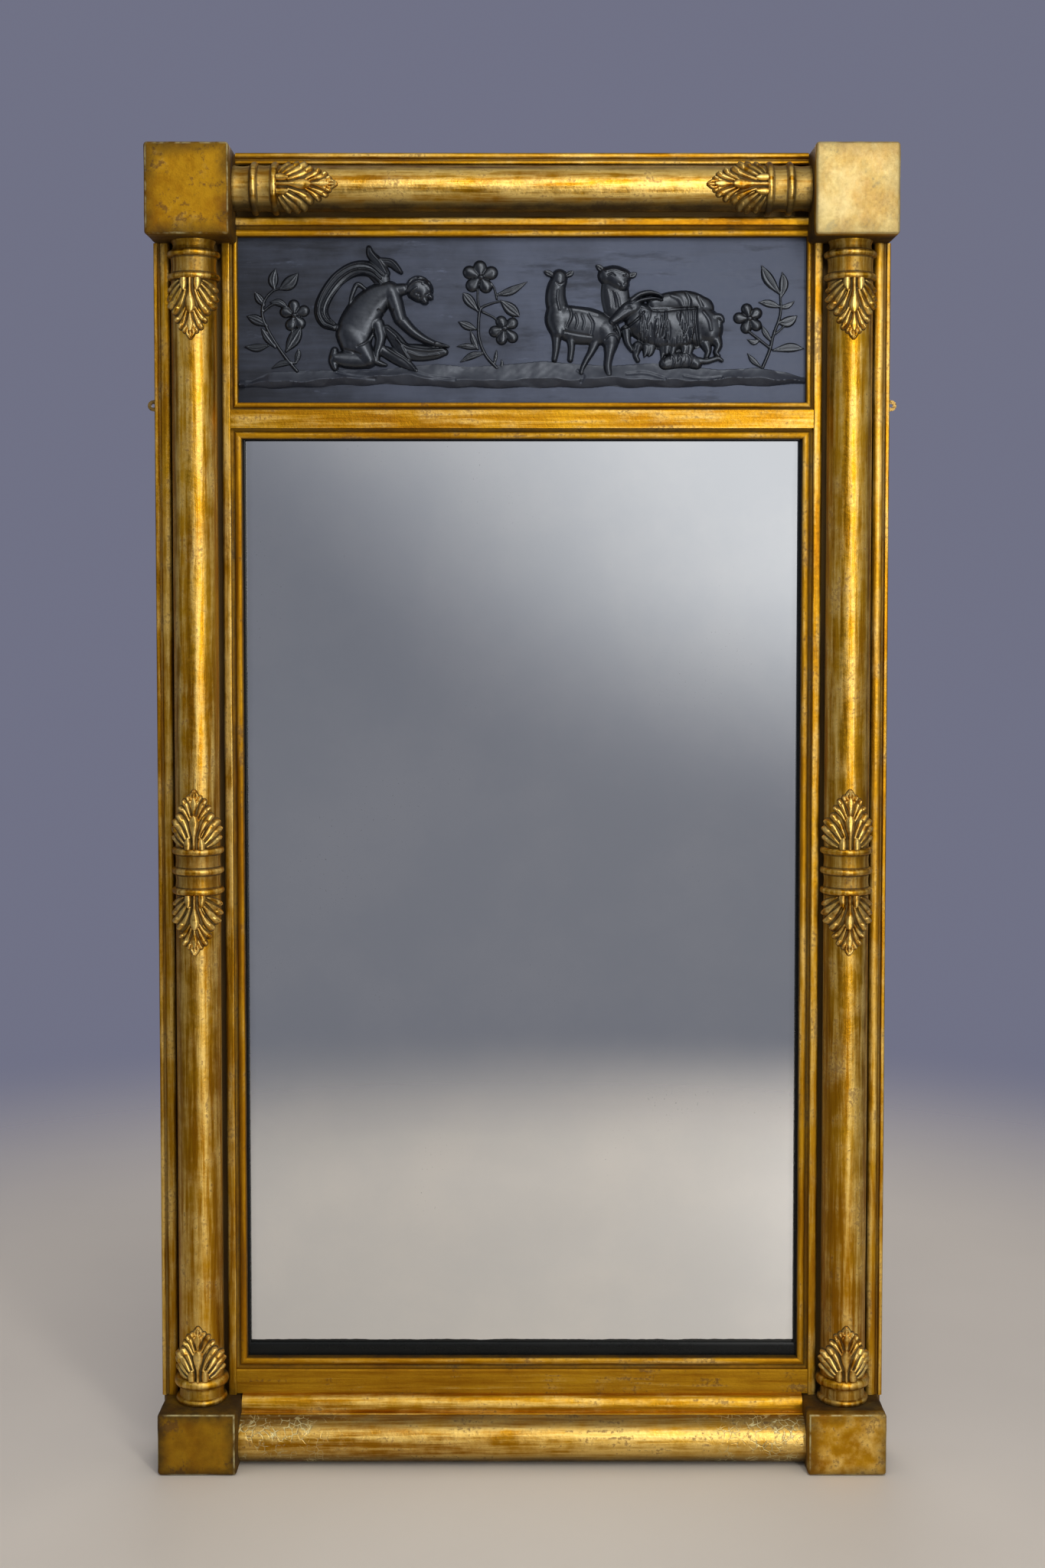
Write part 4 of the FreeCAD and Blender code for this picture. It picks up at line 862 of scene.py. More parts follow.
leftPlantForms = [
    swell(2.8, (-268, 38, 2.1), (-280.9, 53.2, 2.1), (-293.1, 70.7, 1.9), (-304.4, 90.6, 1.9),
          (-309.1, 107, 1.9), (-305.6, 122.2, 1.7), (-296.2, 132.7, 1.7), (-287.5, 135.5, 1.4)),
    swell(2.6, (-307.7, 108.8, 1.7), (-295, 117.2, 1.7), (-280.5, 114.4, 1.4)),
    swell(2.4, (-280.9, 61.4, 1.7), (-274.3, 81.2, 1.4), (-272.5, 95.3, 1.4)),
    leaf(3.6, (-294.6, 135), (-296, 146.2, 5.7), (-292.7, 158.9)),
    leaf(3.8, (-287.5, 134.6), (-276.2, 142, 7.1), (-265.9, 153.7)),
    leaf(3.4, (-306.3, 115.4), (-312.4, 122.9, 4.7), (-317.6, 131.3)),
    leaf(3.4, (-278.6, 112.6), (-288.9, 118.7, 4.3), (-299.7, 119.1)),
    leaf(3.6, (-303, 91.5), (-316.2, 98.5, 5.7), (-327.4, 102.8)),
    leaf(3.4, (-293.6, 65.8), (-303, 77.5, 4.7), (-310.5, 89.2)),
    leaf(3.8, (-280.9, 61.1), (-271.1, 76.6, 7.1), (-262.6, 90.1)),
    leaf(3.5, (-302.1, 68.2), (-316.2, 65.3, 4.7), (-330.7, 66.7)),
    leaf(3, (-269.6, 47.1), (-266.8, 56.5, 3.3), (-265.7, 64.9)),
    leaf(3.4, (-271.1, 47.6), (-285.2, 47.1, 3.6), (-298.3, 41)),
    *flower(4.2, -270.59, 103.69, 5.93, (-272, 120.52), (-255.08, 111.17), (-261.66, 90.59),
            (-277.16, 87.79), (-286.09, 109.3)),
]
centrePlantForms = [
    swell(2.8, (-30, 41.5, 2.1), (-43.2, 56.5, 2.1), (-51.1, 76.6, 1.9), (-51.6, 97.6, 1.9),
          (-49.3, 111.2, 1.9), (-40.8, 116.3, 1.7), (-26.7, 120.5, 1.4)),
    swell(2.4, (-49.7, 109.8, 1.7), (-52.6, 120.5, 1.4), (-52.6, 133.6, 1.4)),
    swell(2.4, (-30, 123.3, 1.4), (-32.8, 135, 1.4), (-36.6, 141.6, 1.4)),
    swell(2.4, (-46.9, 107.9, 1.7), (-33.3, 100.9, 1.4), (-25.3, 92.5, 1.4)),
    leaf(3.6, (-52.6, 108.8), (-63.4, 121.9, 5.7), (-69.9, 130.3)),
    leaf(3.5, (-29.5, 128), (-13.1, 132.7, 4.7), (6.7, 143.4)),
    leaf(3.8, (-25.3, 121), (-13.1, 110.7, 6.6), (-2.7, 102.3)),
    leaf(3.5, (-54.9, 87.3), (-65.7, 91.5, 4.7), (-76, 96.2)),
    leaf(3.2, (-52.6, 63.9), (-57.7, 74.2, 3.6), (-61.2, 85.5)),
    leaf(3.2, (-52.1, 64.4), (-64.8, 67.2, 3.6), (-77.5, 67.2)),
    leaf(3.5, (-45.5, 59.3), (-60.1, 56, 4), (-73.7, 48.5)),
    leaf(2.8, (-32.8, 46.6), (-31.4, 55.1, 2.1), (-30.2, 63)),
    leaf(2.6, (-24.8, 41), (-23.9, 46.6, 1.9), (-24.4, 51.8)),
    *flower(4.4, -48.79, 148.58, 6.88, (-50.67, 165.41), (-31.88, 156.06), (-40.81, 133.62),
            (-63.36, 135.49), (-68.06, 157)),
    *flower(4.2, -20.6, 88.26, 5.93, (-26.71, 99.95), (-7.91, 97.14), (-7.91, 73.76), (-25.77, 70.49),
            (-37.52, 83.11)),
]
goatForms = [
    swell(5.4, (156.5, 117.5, 8.1), (176, 120.8, 10.4), (198, 119.9, 12.3), (214.5, 111.9, 13.3)),
    crease(1, (194.8, 129.7, 2.8), (199, 120.3, 3.3), (198, 109.8, 2.8)),
    crease(0.9, (208.8, 124.5, 2.6), (213.5, 114.2, 3.1), (214.5, 106.3, 2.6)),
    ridge(0.8, (177.5, 126.9, 3.3), (186.5, 122.7, 4.3), (191, 113.3, 3.3)),
    swell(4.8, (113, 113, 15.7), (111.2, 123, 16.2), (110.2, 133, 15.8), (110, 143, 14)),
    swell(7.4, (100.5, 150.5, 10.5), (110, 151, 11.5), (120, 149.5, 9.5)),
    swell(8.6, (110, 149, 12.5), (114.5, 145, 11.5), (118.5, 141.5, 9.2), (119.5, 139, 7.6)),
    blade(5.6, (96, 156, 2.4), (92.5, 159.5, 3.6), (88.5, 162.3, 1.2)),
    blade(5.6, (126, 150.5, 2.2), (131.5, 151, 3.4), (135.7, 153.4, 1)),
    crease(1.5, (101.5, 150.8, 1.4), (106, 152, 1.9), (110, 149.5, 1.4)),
    crease(1.3, (120.5, 150, 1.4), (124, 150.4, 1.7)),
    ridge(1, (99.7, 155.5, 2.1), (109, 157.5, 2.4), (119.5, 154.5, 2.1)),
    crease(1.2, (114.5, 140.8, 0.9), (116.4, 139.4, 1.2)),
    crease(1.2, (120.6, 139.4, 1.2), (122.5, 140.8, 0.9)),
    ridge(0.6, (101.5, 133, 2.1), (103.5, 124, 2.6), (105, 113, 2.1)),
    ridge(0.6, (111.5, 130, 2.1), (114.5, 122, 2.6), (116, 113, 2.1)),
    crease(0.6, (107, 131, 1.9), (109, 122, 2.1), (110.5, 113, 1.9)),
    swell(8.2, (45.6, 98.4, 17.6), (62.5, 92.6, 21.2), (80.8, 90.4, 20.6), (95.8, 86.4, 17.2)),
    swell(8.8, (41.3, 109.8, 11.9), (41.8, 98.1, 14.2), (43.2, 85, 10)),
    swell(8, (42.7, 109.3, 12.8), (39.9, 123.3, 11.9), (40.4, 135, 10.9), (43.2, 144.4, 9.5)),
    swell(8.8, (43.7, 144.4, 9.7), (44.6, 149, 9.3)),
    blade(6.4, (37.6, 150, 1.9), (31.5, 153.3, 3.6), (26.3, 155.4, 0.9)),
    blade(6.4, (52.1, 150, 1.9), (57.3, 152.8, 3.3), (60.6, 155.1, 0.9)),
    swell(6.2, (39.7, 90.6, 8.4), (40.9, 76.6, 5.8), (40.4, 62.5, 4.2), (38.5, 51.3, 3.6)),
    swell(4.8, (56.4, 81.2, 6.6), (58.7, 67.2, 4.4), (57.3, 51.3, 3.6)),
    swell(5, (88.3, 76.6, 7.4), (83.2, 62.5, 4.8), (76.6, 50.8, 3.8), (71.9, 41.2, 3.2), (70.5, 35.6, 3.2)),
    swell(9.2, (99.6, 85.9, 12.8), (104.3, 76.6, 11.9)),
    swell(7.6, (105.7, 71.9, 9.4), (103.8, 57.9, 6), (101.9, 43.8, 4.8), (103.4, 33.6, 4.6)),
    crease(1.8, (99.1, 74.7, 1.7), (104.3, 79.8, 1.9), (111.3, 78.9, 1.9), (114.2, 71.9, 1.9),
           (110.9, 64.4, 1.7)),
    crease(1.5, (56.4, 113, 2.1), (58.7, 102.3, 2.6), (53.5, 89.7, 2.1)),
    crease(1.2, (78.9, 103.7, 2.1), (84.1, 92.9, 2.6), (82.2, 81.2, 2.1)),
    crease(1, (50.3, 84, 1.9), (66.7, 80.8, 2.4), (83.2, 78.4, 1.9)),
    ridge(0.9, (51.2, 113, 3.3), (71.4, 110.7, 3.6), (90.2, 105.1, 3.1)),
    ridge(0.9, (63.4, 104.6, 1.9), (65.8, 96.2, 2.1), (63.9, 87.8, 1.9)),
    ridge(0.8, (70.9, 103.7, 1.9), (73.8, 95.3, 2.1), (72.3, 86.9, 1.9)),
    crease(1, (40.4, 141.6, 1.4), (44.6, 139.2, 1.7), (49.3, 141.6, 1.4)),
    ridge(0.9, (42.7, 132.7, 1.9), (42.3, 121, 2.1), (44.6, 109.8, 1.9)),
    swell(8.8, (144.7, 94.8, 19.9), (163, 90.1, 24.7), (184.2, 87.8, 26.1), (200.6, 90.1, 25.2)),
    swell(9.6, (213.5, 96.2, 19), (219.4, 91.1, 18.5), (223.2, 85.9, 15.2)),
    swell(6.4, (227.6, 78.9, 9.5), (233.5, 68.4, 5.2), (230.7, 59.7, 3.6), (233.5, 56, 3.1)),
    swell(5.4, (218.5, 69.6, 7.1), (221.3, 61.1, 4.3), (219.4, 54.6, 3.1)),
    swell(7.6, (229.5, 101.5, 5.2), (235.2, 101, 4.9), (237.6, 97.6, 3.6)),
    swell(6.4, (234.6, 95.6, 3.8), (234.8, 89.4, 2.1)),
    crease(2.2, (207.2, 112.1, 2.1), (205.8, 99.9, 2.8), (207.7, 81.2, 2.8), (210.5, 67.2, 2.1)),
    crease(2, (148.9, 109.8, 2.1), (165.4, 108.4, 2.6), (186.5, 110.7, 2.6), (205.8, 112.1, 2.1)),
    ridge(1, (215.2, 107, 2.8), (221.8, 97.6, 3.3), (224.1, 85.9, 2.6)),
    crease(3.6, (136, 66, 8), (160, 60, 11), (186, 60, 11), (204, 66, 8)),
    swell(9.4, (142.8, 103.7, 14.2), (135.8, 96.2, 13.3)),
    swell(6.2, (123.6, 85.9, 6.6), (125.4, 71.9, 4.5), (130.6, 62.5, 3.1)),
    swell(5.6, (137.7, 67.2, 6.2), (135.3, 56.7, 3.8), (137.7, 50.4, 3.1)),
    crease(2.6, (144.7, 107, 1.9), (137.2, 98.5, 2.4), (124.5, 89.7, 2.4), (109.5, 85.9, 1.9)),
    swell(11.2, (133, 113, 10.4), (123.6, 108.4, 9.3), (114.2, 100.9, 7.1), (107.1, 95.3, 5.2)),
    swell(6.4, (112.3, 90.6, 3.3), (115.6, 83.1, 2.6), (116.5, 77, 1.4)),
    swell(9.4, (133, 117.7, 2.8), (144.7, 121.9, 2.8), (157.4, 123.3, 2.1), (166.3, 121, 1.2)),
    swell(11.2, (129.7, 120.5, 4), (139.5, 127.5, 4), (151.3, 130.1, 3.6), (161.6, 128, 2.6),
          (166.8, 124.3, 1.4)),
    blade(10.6, (136.7, 113, 1.9), (142.8, 111.6, 3.3), (149.9, 108.4, 1.2)),
    crease(1.4, (122.6, 110.2, 1.4), (126.4, 111.6, 1.9), (129.2, 110.2, 1.4)),
    ridge(1, (120.3, 113, 1.9), (125, 115.4, 2.1), (129.7, 114.9, 1.9)),
    crease(1.2, (105.7, 94.8, 0.9), (108.1, 92.9, 1.2), (110.9, 93.4, 0.9)),
    crease(1.2, (108.1, 89.7, 0.9), (113.7, 92, 1.2), (119.3, 94.8, 0.9)),
    swell(6.6, (170.6, 46.2, 7.6), (184.2, 50.4, 10), (198.3, 50.4, 9.5), (207.7, 46.2, 6.6)),
    swell(5.2, (208.6, 50.4, 4.7), (219.4, 49.4, 3.8), (232.3, 52.7, 3.3), (237.7, 50.4, 2.6)),
    crease(1.6, (165.4, 53.2, 2.1), (181.8, 59.7, 2.4), (200.6, 60.2, 2.4), (210, 55.5, 1.9)),
    ridge(1.1, (177.6, 56, 1.9), (180.9, 49.4, 2.1), (179, 42, 1.7)),
    ridge(1.1, (186.1, 58.3, 1.9), (190.3, 51.3, 2.1), (188.9, 42.9, 1.7)),
    ridge(1.1, (195.5, 58.8, 1.9), (199.7, 51.8, 2.1), (198.7, 43.8, 1.7)),
]
rightPlantForms = [
    swell(2.9, (286.1, 41.5, 2.1), (294.6, 62.1, 2.1), (299.3, 81.2, 1.9), (305.9, 99.5, 1.9),
          (307.8, 113, 1.7), (306.8, 127.5, 1.4)),
    swell(2.8, (296, 64.4, 1.9), (281, 76.1, 1.9), (269.2, 85.5, 1.7), (265.5, 93.4, 1.4)),
    swell(2.6, (299.8, 80.8, 1.4), (306.4, 85.9, 1.4), (313.4, 92.9, 1.4)),
    leaf(3.8, (306.8, 128.5), (292.7, 146.7, 6.2), (284.3, 163.1)),
    leaf(3.6, (308.2, 125.7), (311.1, 140.6, 5.2), (309.2, 155.1)),
    leaf(3.4, (307.3, 113.5), (293.7, 117.7, 4.3), (281, 119.1)),
    leaf(3.4, (306.4, 113), (315.8, 114.9, 3.1), (324.2, 120.5)),
    leaf(3.8, (305.4, 94.8), (316.7, 96.2, 5.9), (327.5, 103.2)),
    leaf(3.6, (298.8, 62.5), (319.5, 65.8, 5.2), (335.5, 64.4)),
    leaf(3.4, (283.8, 42.9), (274.9, 50.4, 3.3), (268.3, 58.8)),
    leaf(3.2, (282.4, 75.2), (275.8, 71.9, 3.1), (267.8, 75.6)),
    leaf(3, (297.4, 71.9), (289.4, 83.1, 3.3), (285.7, 91.5)),
    *flower(4.4, 270.64, 99.94, 5.93, (265.94, 115.85), (282.39, 108.83), (281.92, 88.73), (265.02, 84.52),
            (252.79, 100.88)),
]


# Carving: each form is a stroke of width and rise, drawn on a height field
carveLook = {
    "floor": -3.0, "keep": -1.0, "blend": 1.6, "petalBlend": 0.3, "bladeBlend": 0.6,
    "dome": (0.94, 0.341, 2.76), "rim": (0.9, 0.587, 2.6),  # where a side turns straight, its share there and its fall
    "dish": 0.38, "midrib": (0.22, 0.16), "leastWide": 0.3, "leastRise": 0.3,
}


def smoothLine(points, count=6):  # a curve through the points
    points = [np.array(point, float) for point in points]
    padded = [2 * points[0] - points[1]] + points + [2 * points[-1] - points[-2]]
    line = []
    for before, start, end, after in zip(padded, padded[1:], padded[2:], padded[3:]):
        slope = end - before
        bend = 2 * before - 5 * start + 4 * end - after
        twist = 3 * start - before - 3 * end + after
        for share in np.arange(count) / count:
            line.append(0.5 * (2 * start + slope * share + bend * share ** 2 + twist * share ** 3))
    line = np.array(line + [points[-1]])
    line[:, 2] = np.maximum(line[:, 2], carveLook["leastWide"])
    return line


class Carving:
    def __init__(self, across, up):
        self.across = across
        self.up = up
        self.height = np.full(across.shape, carveLook["floor"])

    def reach(self, points):  # distance from the stroke over its half width
        line = smoothLine(points)
        share = np.full(self.across.shape, 9.0)
        for start, end in zip(line, line[1:]):
            wide = max(start[2], end[2]) * 1.7 + 1.5
            low = np.minimum(start, end) - wide
            high = np.maximum(start, end) + wide
            near = (self.across > low[0]) & (self.across < high[0]) & (self.up > low[1]) & (self.up < high[1])
            if not near.any():
                continue
            x = self.across[near] - start[0]
            z = self.up[near] - start[1]
            step = end - start
            along = np.clip((x * step[0] + z * step[1]) / max(step[0] ** 2 + step[1] ** 2, 1e-9), 0, 1)
            away = np.hypot(x - along * step[0], z - along * step[1])
            share[near] = np.minimum(share[near], away / (start[2] + along * step[2]))
        return share

    def join(self, rise, blend):  # the higher of the two, with the corner between them filled
        rise = np.maximum(rise, carveLook["floor"])
        top = np.maximum(self.height, rise)
        soft = blend * np.clip((top + 1.2) / 1.2, 0, 1)
        gap = np.maximum(soft - np.abs(self.height - rise), 0)
        self.height = top + gap ** 2 / np.maximum(4 * soft, 1e-6)

    def stroke(self, way, rise, points, blend=carveLook["blend"]):
        share = self.reach(points)
        inside = np.clip(1 - share ** 2, 0, 1)
        if way in ("swell", "petal"):
            bend, low, fall = carveLook["dome"]
            dome = np.where(share < bend, np.sqrt(inside), low - fall * (share - bend))
            self.join(rise * dome, blend if way == "swell" else carveLook["petalBlend"])
        elif way == "blade":  # dished, with a midrib
            bend, low, fall = carveLook["rim"]
            ribRise, ribWide = carveLook["midrib"]
            dish = 1 - carveLook["dish"] * (1 - np.clip(share, 0, 1) ** 2) + ribRise * np.exp(-(share / ribWide) ** 2)
            rim = np.where(share < bend, np.sqrt(np.clip(1 - share ** 4, 0, 1)), low - fall * (share - bend))
            self.join(rise * np.where(rim > 0, rim * dish, rim), blend * carveLook["bladeBlend"])
        elif way == "ridge":
            self.height += np.where(self.height > 0, rise * inside ** 2, 0)
        elif way == "crease":
            least = np.minimum(self.height, carveLook["leastRise"])
            sunk = np.maximum(self.height - rise * inside ** 2, least)
            self.height = np.where(self.height > 0, sunk, self.height)


shelfLook = {
    "rise": 7.0, "edge": 0.35, "fall": 12, "over": 8, "taper": 40, "endRise": 0.35,
    "undercut": 0.72, "upper": 1.5, "lower": 0.9,  # how far the foot lies back, and how the slopes bend
    "lipWaves": [(0.9, 13, 0), (0.7, 5.6, 1)], "footWaves": [(0.8, 8.4, 2)],  # height, pitch and phase
}


def wavy(across, waves):
    return sum(high * np.sin(across / pitch + phase) for high, pitch, phase in waves)


def layShelf(carving, shelf):  # ground that swells out from the panel to a lip and is undercut below it
    across, up = carving.across, carving.up
    over, taper, least = shelfLook["over"], shelfLook["taper"], shelfLook["endRise"]
    places, *lines = zip(*shelf)
    top, lip, low = (np.interp(across, places, line) for line in lines)
    ends = np.clip((across - places[0] + over) / taper, 0, 1) * np.clip((places[-1] + over - across) / taper, 0, 1)
    lip = lip + wavy(across, shelfLook["lipWaves"])
    low = lip - (lip - low) * shelfLook["undercut"] + wavy(across, shelfLook["footWaves"])
    share = np.where(up > lip, (top - up) / (top - lip), (up - low) / (lip - low))
    form = np.clip(share, 0, 1) ** np.where(up > lip, shelfLook["upper"], shelfLook["lower"])
    form = shelfLook["rise"] * (least + (1 - least) * np.sqrt(ends)) * form + shelfLook["edge"]
    outside = np.maximum(carveLook["floor"], share * shelfLook["fall"])
    carving.height = np.where((share > 0) & (ends > 0), form, outside)


weatherLook = {"waves": 8, "pitches": (0.55, 1.8), "beside": 0.6, "least": 0.2}


def weather(carving, size, depth, seed):  # a worn, lumpy face
    count, pitches, besideShare, least = weatherLook.values()
    chance = np.random.default_rng(seed)
    lumps = np.zeros(carving.across.shape)
    turns = chance.uniform(0, pi, count)
    phases = chance.uniform(0, 6, (count, 2))
    for turned, phase, pitch in zip(turns, phases, size * chance.uniform(*pitches, count)):
        along = (carving.across * cos(turned) + carving.up * sin(turned)) * pi / pitch
        beside = (carving.up * cos(turned) - carving.across * sin(turned)) * pi / (pitch * besideShare)
        lumps += np.sin(along + phase[0]) * np.sin(beside + phase[1])
    worn = np.maximum(carving.height + lumps * depth, least)
    carving.height = np.where(carving.height > least, worn, carving.height)


def shaggy(carving, area, count, seed):  # locks of hair that hang over a coat
    left, right, low, high = area
    chance = np.random.default_rng(seed)
    for index in range(count):
        x, z = chance.uniform(left, right), chance.uniform(low + 8, high)
        length, lean, wide = chance.uniform(12, 24), chance.uniform(-4.5, 2.5), chance.uniform(2.0, 4.4)
        line = [(x, z, wide * 0.5), (x + lean * 0.3, z - length * 0.45, wide), (x + lean, z - length, wide * 0.35)]
        carving.stroke("crease" if index % 3 == 0 else "ridge", chance.uniform(0.5, 1.3), line)
    for x in np.linspace(left + 4, right - 6, 8) + chance.uniform(-4, 4, 8):  # the ragged hem
        drop = chance.uniform(3, 10)
        rise = chance.uniform(3.4, 5.0)
        tip = (x + chance.uniform(-3, 1), low + 8 - drop, 1.2)
        carving.stroke("swell", rise, [(x, low + 12, 5.4), (x - 0.8, low + 6, 4.0), tip], 1.0)


def layField(name, spots, height):
    # a grid is laid over the form, its points set out to spots, and what lies well below is cut away
    rows, columns = height.shape
    bpy.ops.object.select_all(action="DESELECT")
    bpy.ops.mesh.primitive_grid_add(x_subdivisions=columns - 1, y_subdivisions=rows - 1, size=1)
    piece = startPiece(name)
    mesh = piece.data
    start = np.empty(len(mesh.vertices) * 3)
    mesh.vertices.foreach_get("co", start)
    start = start.reshape(-1, 3)
    column = np.rint((start[:, 0] + 0.5) * (columns - 1)).astype(int)
    row = np.rint((start[:, 1] + 0.5) * (rows - 1)).astype(int)
    mesh.vertices.foreach_set("co", (spots[row, column] * mm).ravel())
    bpy.ops.object.mode_set(mode="EDIT")
    bpy.ops.mesh.select_mode(type="VERT")
    bpy.ops.mesh.select_all(action="DESELECT")
    bpy.ops.object.mode_set(mode="OBJECT")
    mesh.vertices.foreach_set("select", height[row, column] < carveLook["keep"])
    bpy.ops.object.mode_set(mode="EDIT")
    bpy.ops.mesh.delete(type="VERT")
    bpy.ops.mesh.select_all(action="SELECT")
    bpy.ops.mesh.delete_loose()
    bpy.ops.mesh.select_all(action="SELECT")
    bpy.ops.mesh.extrude_region_move()  # the copy becomes the back
    return piece


reliefLook = {
    "pitch": 0.65, "margin": 14, "edge": 336.5, "foot": 0.6, "head": 194.6, "most": 11.4,
    "sill": 1269.7, "panel": 24.0, "back": 25.6,
    "coat": ((134, 208, 54, 112), 62, 4),  # left, right, low and high, count of locks and seed
    "wear": [(34, 0.35, 7), (14, 0.07, 5)], "fineWear": (8, 0.015, 3),  # size, depth and seed
}


def reliefPiece(name, forms, stands):
    isGround = forms is groundForms
    points = [point[:2] for form in forms for point in form[2]]
    if isGround:
        points += [row[:2] for row in groundShelf] + [row[::3] for row in groundShelf]
    points = np.array(points)
    pitch, margin, edge = (reliefLook[part] for part in ("pitch", "margin", "edge"))
    left, right = max(points[:, 0].min() - margin, -edge), min(points[:, 0].max() + margin, edge)
    low = max(points[:, 1].min() - margin, reliefLook["foot"])
    high = min(points[:, 1].max() + margin, reliefLook["head"])
    columns, rows = int((right - left) / pitch) + 1, int((high - low) / pitch) + 1
    across, up = np.meshgrid(np.linspace(left, right, columns), np.linspace(low, high, rows))
    carving = Carving(across, up)
    if isGround:
        layShelf(carving, groundShelf)
    for form in forms:
        carving.stroke(*form)
    if forms is goatForms:
        shaggy(carving, *reliefLook["coat"])
    for wear in (reliefLook["wear"] if isGround else []) + [reliefLook["fineWear"]]:
        weather(carving, *wear)
    height = np.minimum(carving.height, reliefLook["most"])
    spots = np.stack([across, reliefLook["panel"] - height, up + reliefLook["sill"]], axis=-1)
    piece = layField(name, spots, height)
    bpy.ops.transform.resize(value=(1, 0, 1), center_override=(0, reliefLook["back"] * mm, 0))
    closeUp()
    finishPiece(piece, groundBlack if isGround else reliefBlack, stands, 70)
    print("carved", name, len(piece.data.polygons))


for name, forms, stands in (("reliefGround", groundForms, "relief_ground"),
                            ("reliefChild", childForms, "relief_child"),
                            ("reliefPlant.left", leftPlantForms, "relief_plant_left"),
                            ("reliefPlant.centre", centrePlantForms, "relief_plant_centre"),
                            ("reliefGoats", goatForms, "relief_goats"),
                            ("reliefPlant.right", rightPlantForms, "relief_plant_right")):
    reliefPiece(name, forms, stands)

# Leaves, drawn flat: distance from the middle, distance from the base and half width
leafLook = {"length": 71, "spread": 28.6, "reach": 1.36, "round": 28, "spare": (3, 1.2), "pitch": 0.46,
            "body": 1.0, "most": 6.2, "sunk": 1.6}
leafKnob = [(8.2, 0.8, 4.0), (8.4, 5, 4.5), (8.0, 9.5, 3.8), (7.2, 13.5, 1.8)]
leafLobes = [
    (3.2, [(15, 3, 1.2), (20, 5.5, 1.9), (25, 9.5, 2.4), (28, 13, 2.2)]),
    (3.8, [(12.5, 7, 1.2), (18, 12, 2.0), (23.5, 18, 2.8), (27.2, 23.5, 2.8)]),
    (4.8, [(9.5, 11, 1.2), (14, 17.5, 2.2), (19.6, 25, 3.2), (24.6, 32, 3.1)]),
    (4.8, [(5.5, 14, 1.2), (8.5, 22.5, 1.8), (13, 31, 2.8), (18.8, 39, 3.3)]),
    (4.4, [(5.5, 34, 1.1), (9.5, 41, 1.9), (13.6, 46, 2.5), (16.8, 49.0, 2.4)]),
    (4.6, [(4.2, 39, 1.1), (7.2, 47, 2.0), (10.0, 53, 2.6), (12.2, 57.0, 2.5)]),
    (4.2, [(2.8, 50, 1.0), (4.8, 56.5, 1.7), (7.2, 61.5, 2.2)]),
    (3.8, [(3.0, 60, 1.1), (3.8, 64, 1.5), (2.4, 67, 1.5), (0.6, 69.8, 1.2)]),
]
leafRib = [(0, 0.5, 1.8), (0, 12, 1.8), (0, 19, 3.0), (0, 26, 5.2), (0, 32, 6.2), (0, 36.5, 4.8), (0, 40, 1.6)]
leafBud = [(0, 42, 1.4), (0, 48, 2.8), (0, 53.5, 4.4), (0, 58, 3.2), (0, 61.5, 1.3)]
leafTip = [(0, 61, 1.4), (0, 65, 1.8), (0, 69, 1.0)]


def widened(line, times, more=0.0):
    return [(beside, along, wide * times + more) for beside, along, wide in line]


def carveLeaf(length):
    bend, pitch, body = leafLook["reach"], leafLook["pitch"], leafLook["body"]
    more, past = leafLook["spare"]
    columns, rows = int(2 * bend * leafLook["round"] / pitch), int((length + more) / pitch)
    turned, along = np.meshgrid(np.linspace(-bend, bend, columns), np.linspace(0, length + past, rows))
    carving = Carving(np.abs(leafLook["spread"] * np.sin(turned)), along / (length / leafLook["length"]))
    for rise, lobe in leafLobes:
        carving.stroke("swell", body, widened(lobe, 1.35, 0.4), 0.5)
    carving.stroke("swell", body, widened(leafRib + leafBud, 1.3, 1.5), 0.5)
    carving.stroke("swell", 5.2, leafKnob, 0.4)
    for rise, lobe in leafLobes:
        carving.stroke("swell", rise * 0.74, widened(lobe, 1.15), 0.3)
        middle = tuple((first + second) / 2 for first, second in zip(lobe[-2], lobe[-1]))
        carving.stroke("swell", rise * 1.15, [middle, lobe[-1]], 0.9)
    carving.stroke("swell", 6.2, leafRib, 0.3)
    carving.stroke("swell", 6.0, leafBud, 0.3)
    carving.stroke("swell", 3.2, leafTip, 0.4)
    lift = np.clip(along / length, 0, 1) ** 2 * 1.1 + np.clip(np.abs(turned) - 0.7, 0, 1) * 0.9
    return turned, along, np.where(carving.height > 0.4, carving.height + lift, carving.height)


def leafPiece(name, length, spread, across, middle, stands, material):
    # spread: sets the flat leaf round its column; across and middle: the axis beside the column, and its middle there
    turned, along, height = carveLeaf(length)
    piece = layField(name, spread(turned, along, columnLook["shaft"] + np.minimum(height, leafLook["most"])), height)
    bpy.ops.object.mode_set(mode="OBJECT")
    mesh = piece.data
    picked = np.zeros(len(mesh.vertices), bool)
    mesh.vertices.foreach_get("select", picked)
    spots = np.empty(len(mesh.vertices) * 3)
    mesh.vertices.foreach_get("co", spots)
    spots = spots.reshape(-1, 3)
    flat = spots[picked] / mm  # the back sinks onto a cylinder just under the shaft's face
    beside, depth = flat[:, across] - middle, flat[:, 1] - columnLook["y"]
    share = (columnLook["shaft"] - leafLook["sunk"]) / np.maximum(np.hypot(beside, depth), 1e-6)
    flat[:, across] = middle + beside * share
    flat[:, 1] = columnLook["y"] + depth * share
    spots[picked] = flat * mm
    mesh.vertices.foreach_set("co", spots.ravel())
    mesh.update()
    bpy.ops.object.mode_set(mode="EDIT")
    closeUp()
    finishPiece(piece, material, stands, 70)


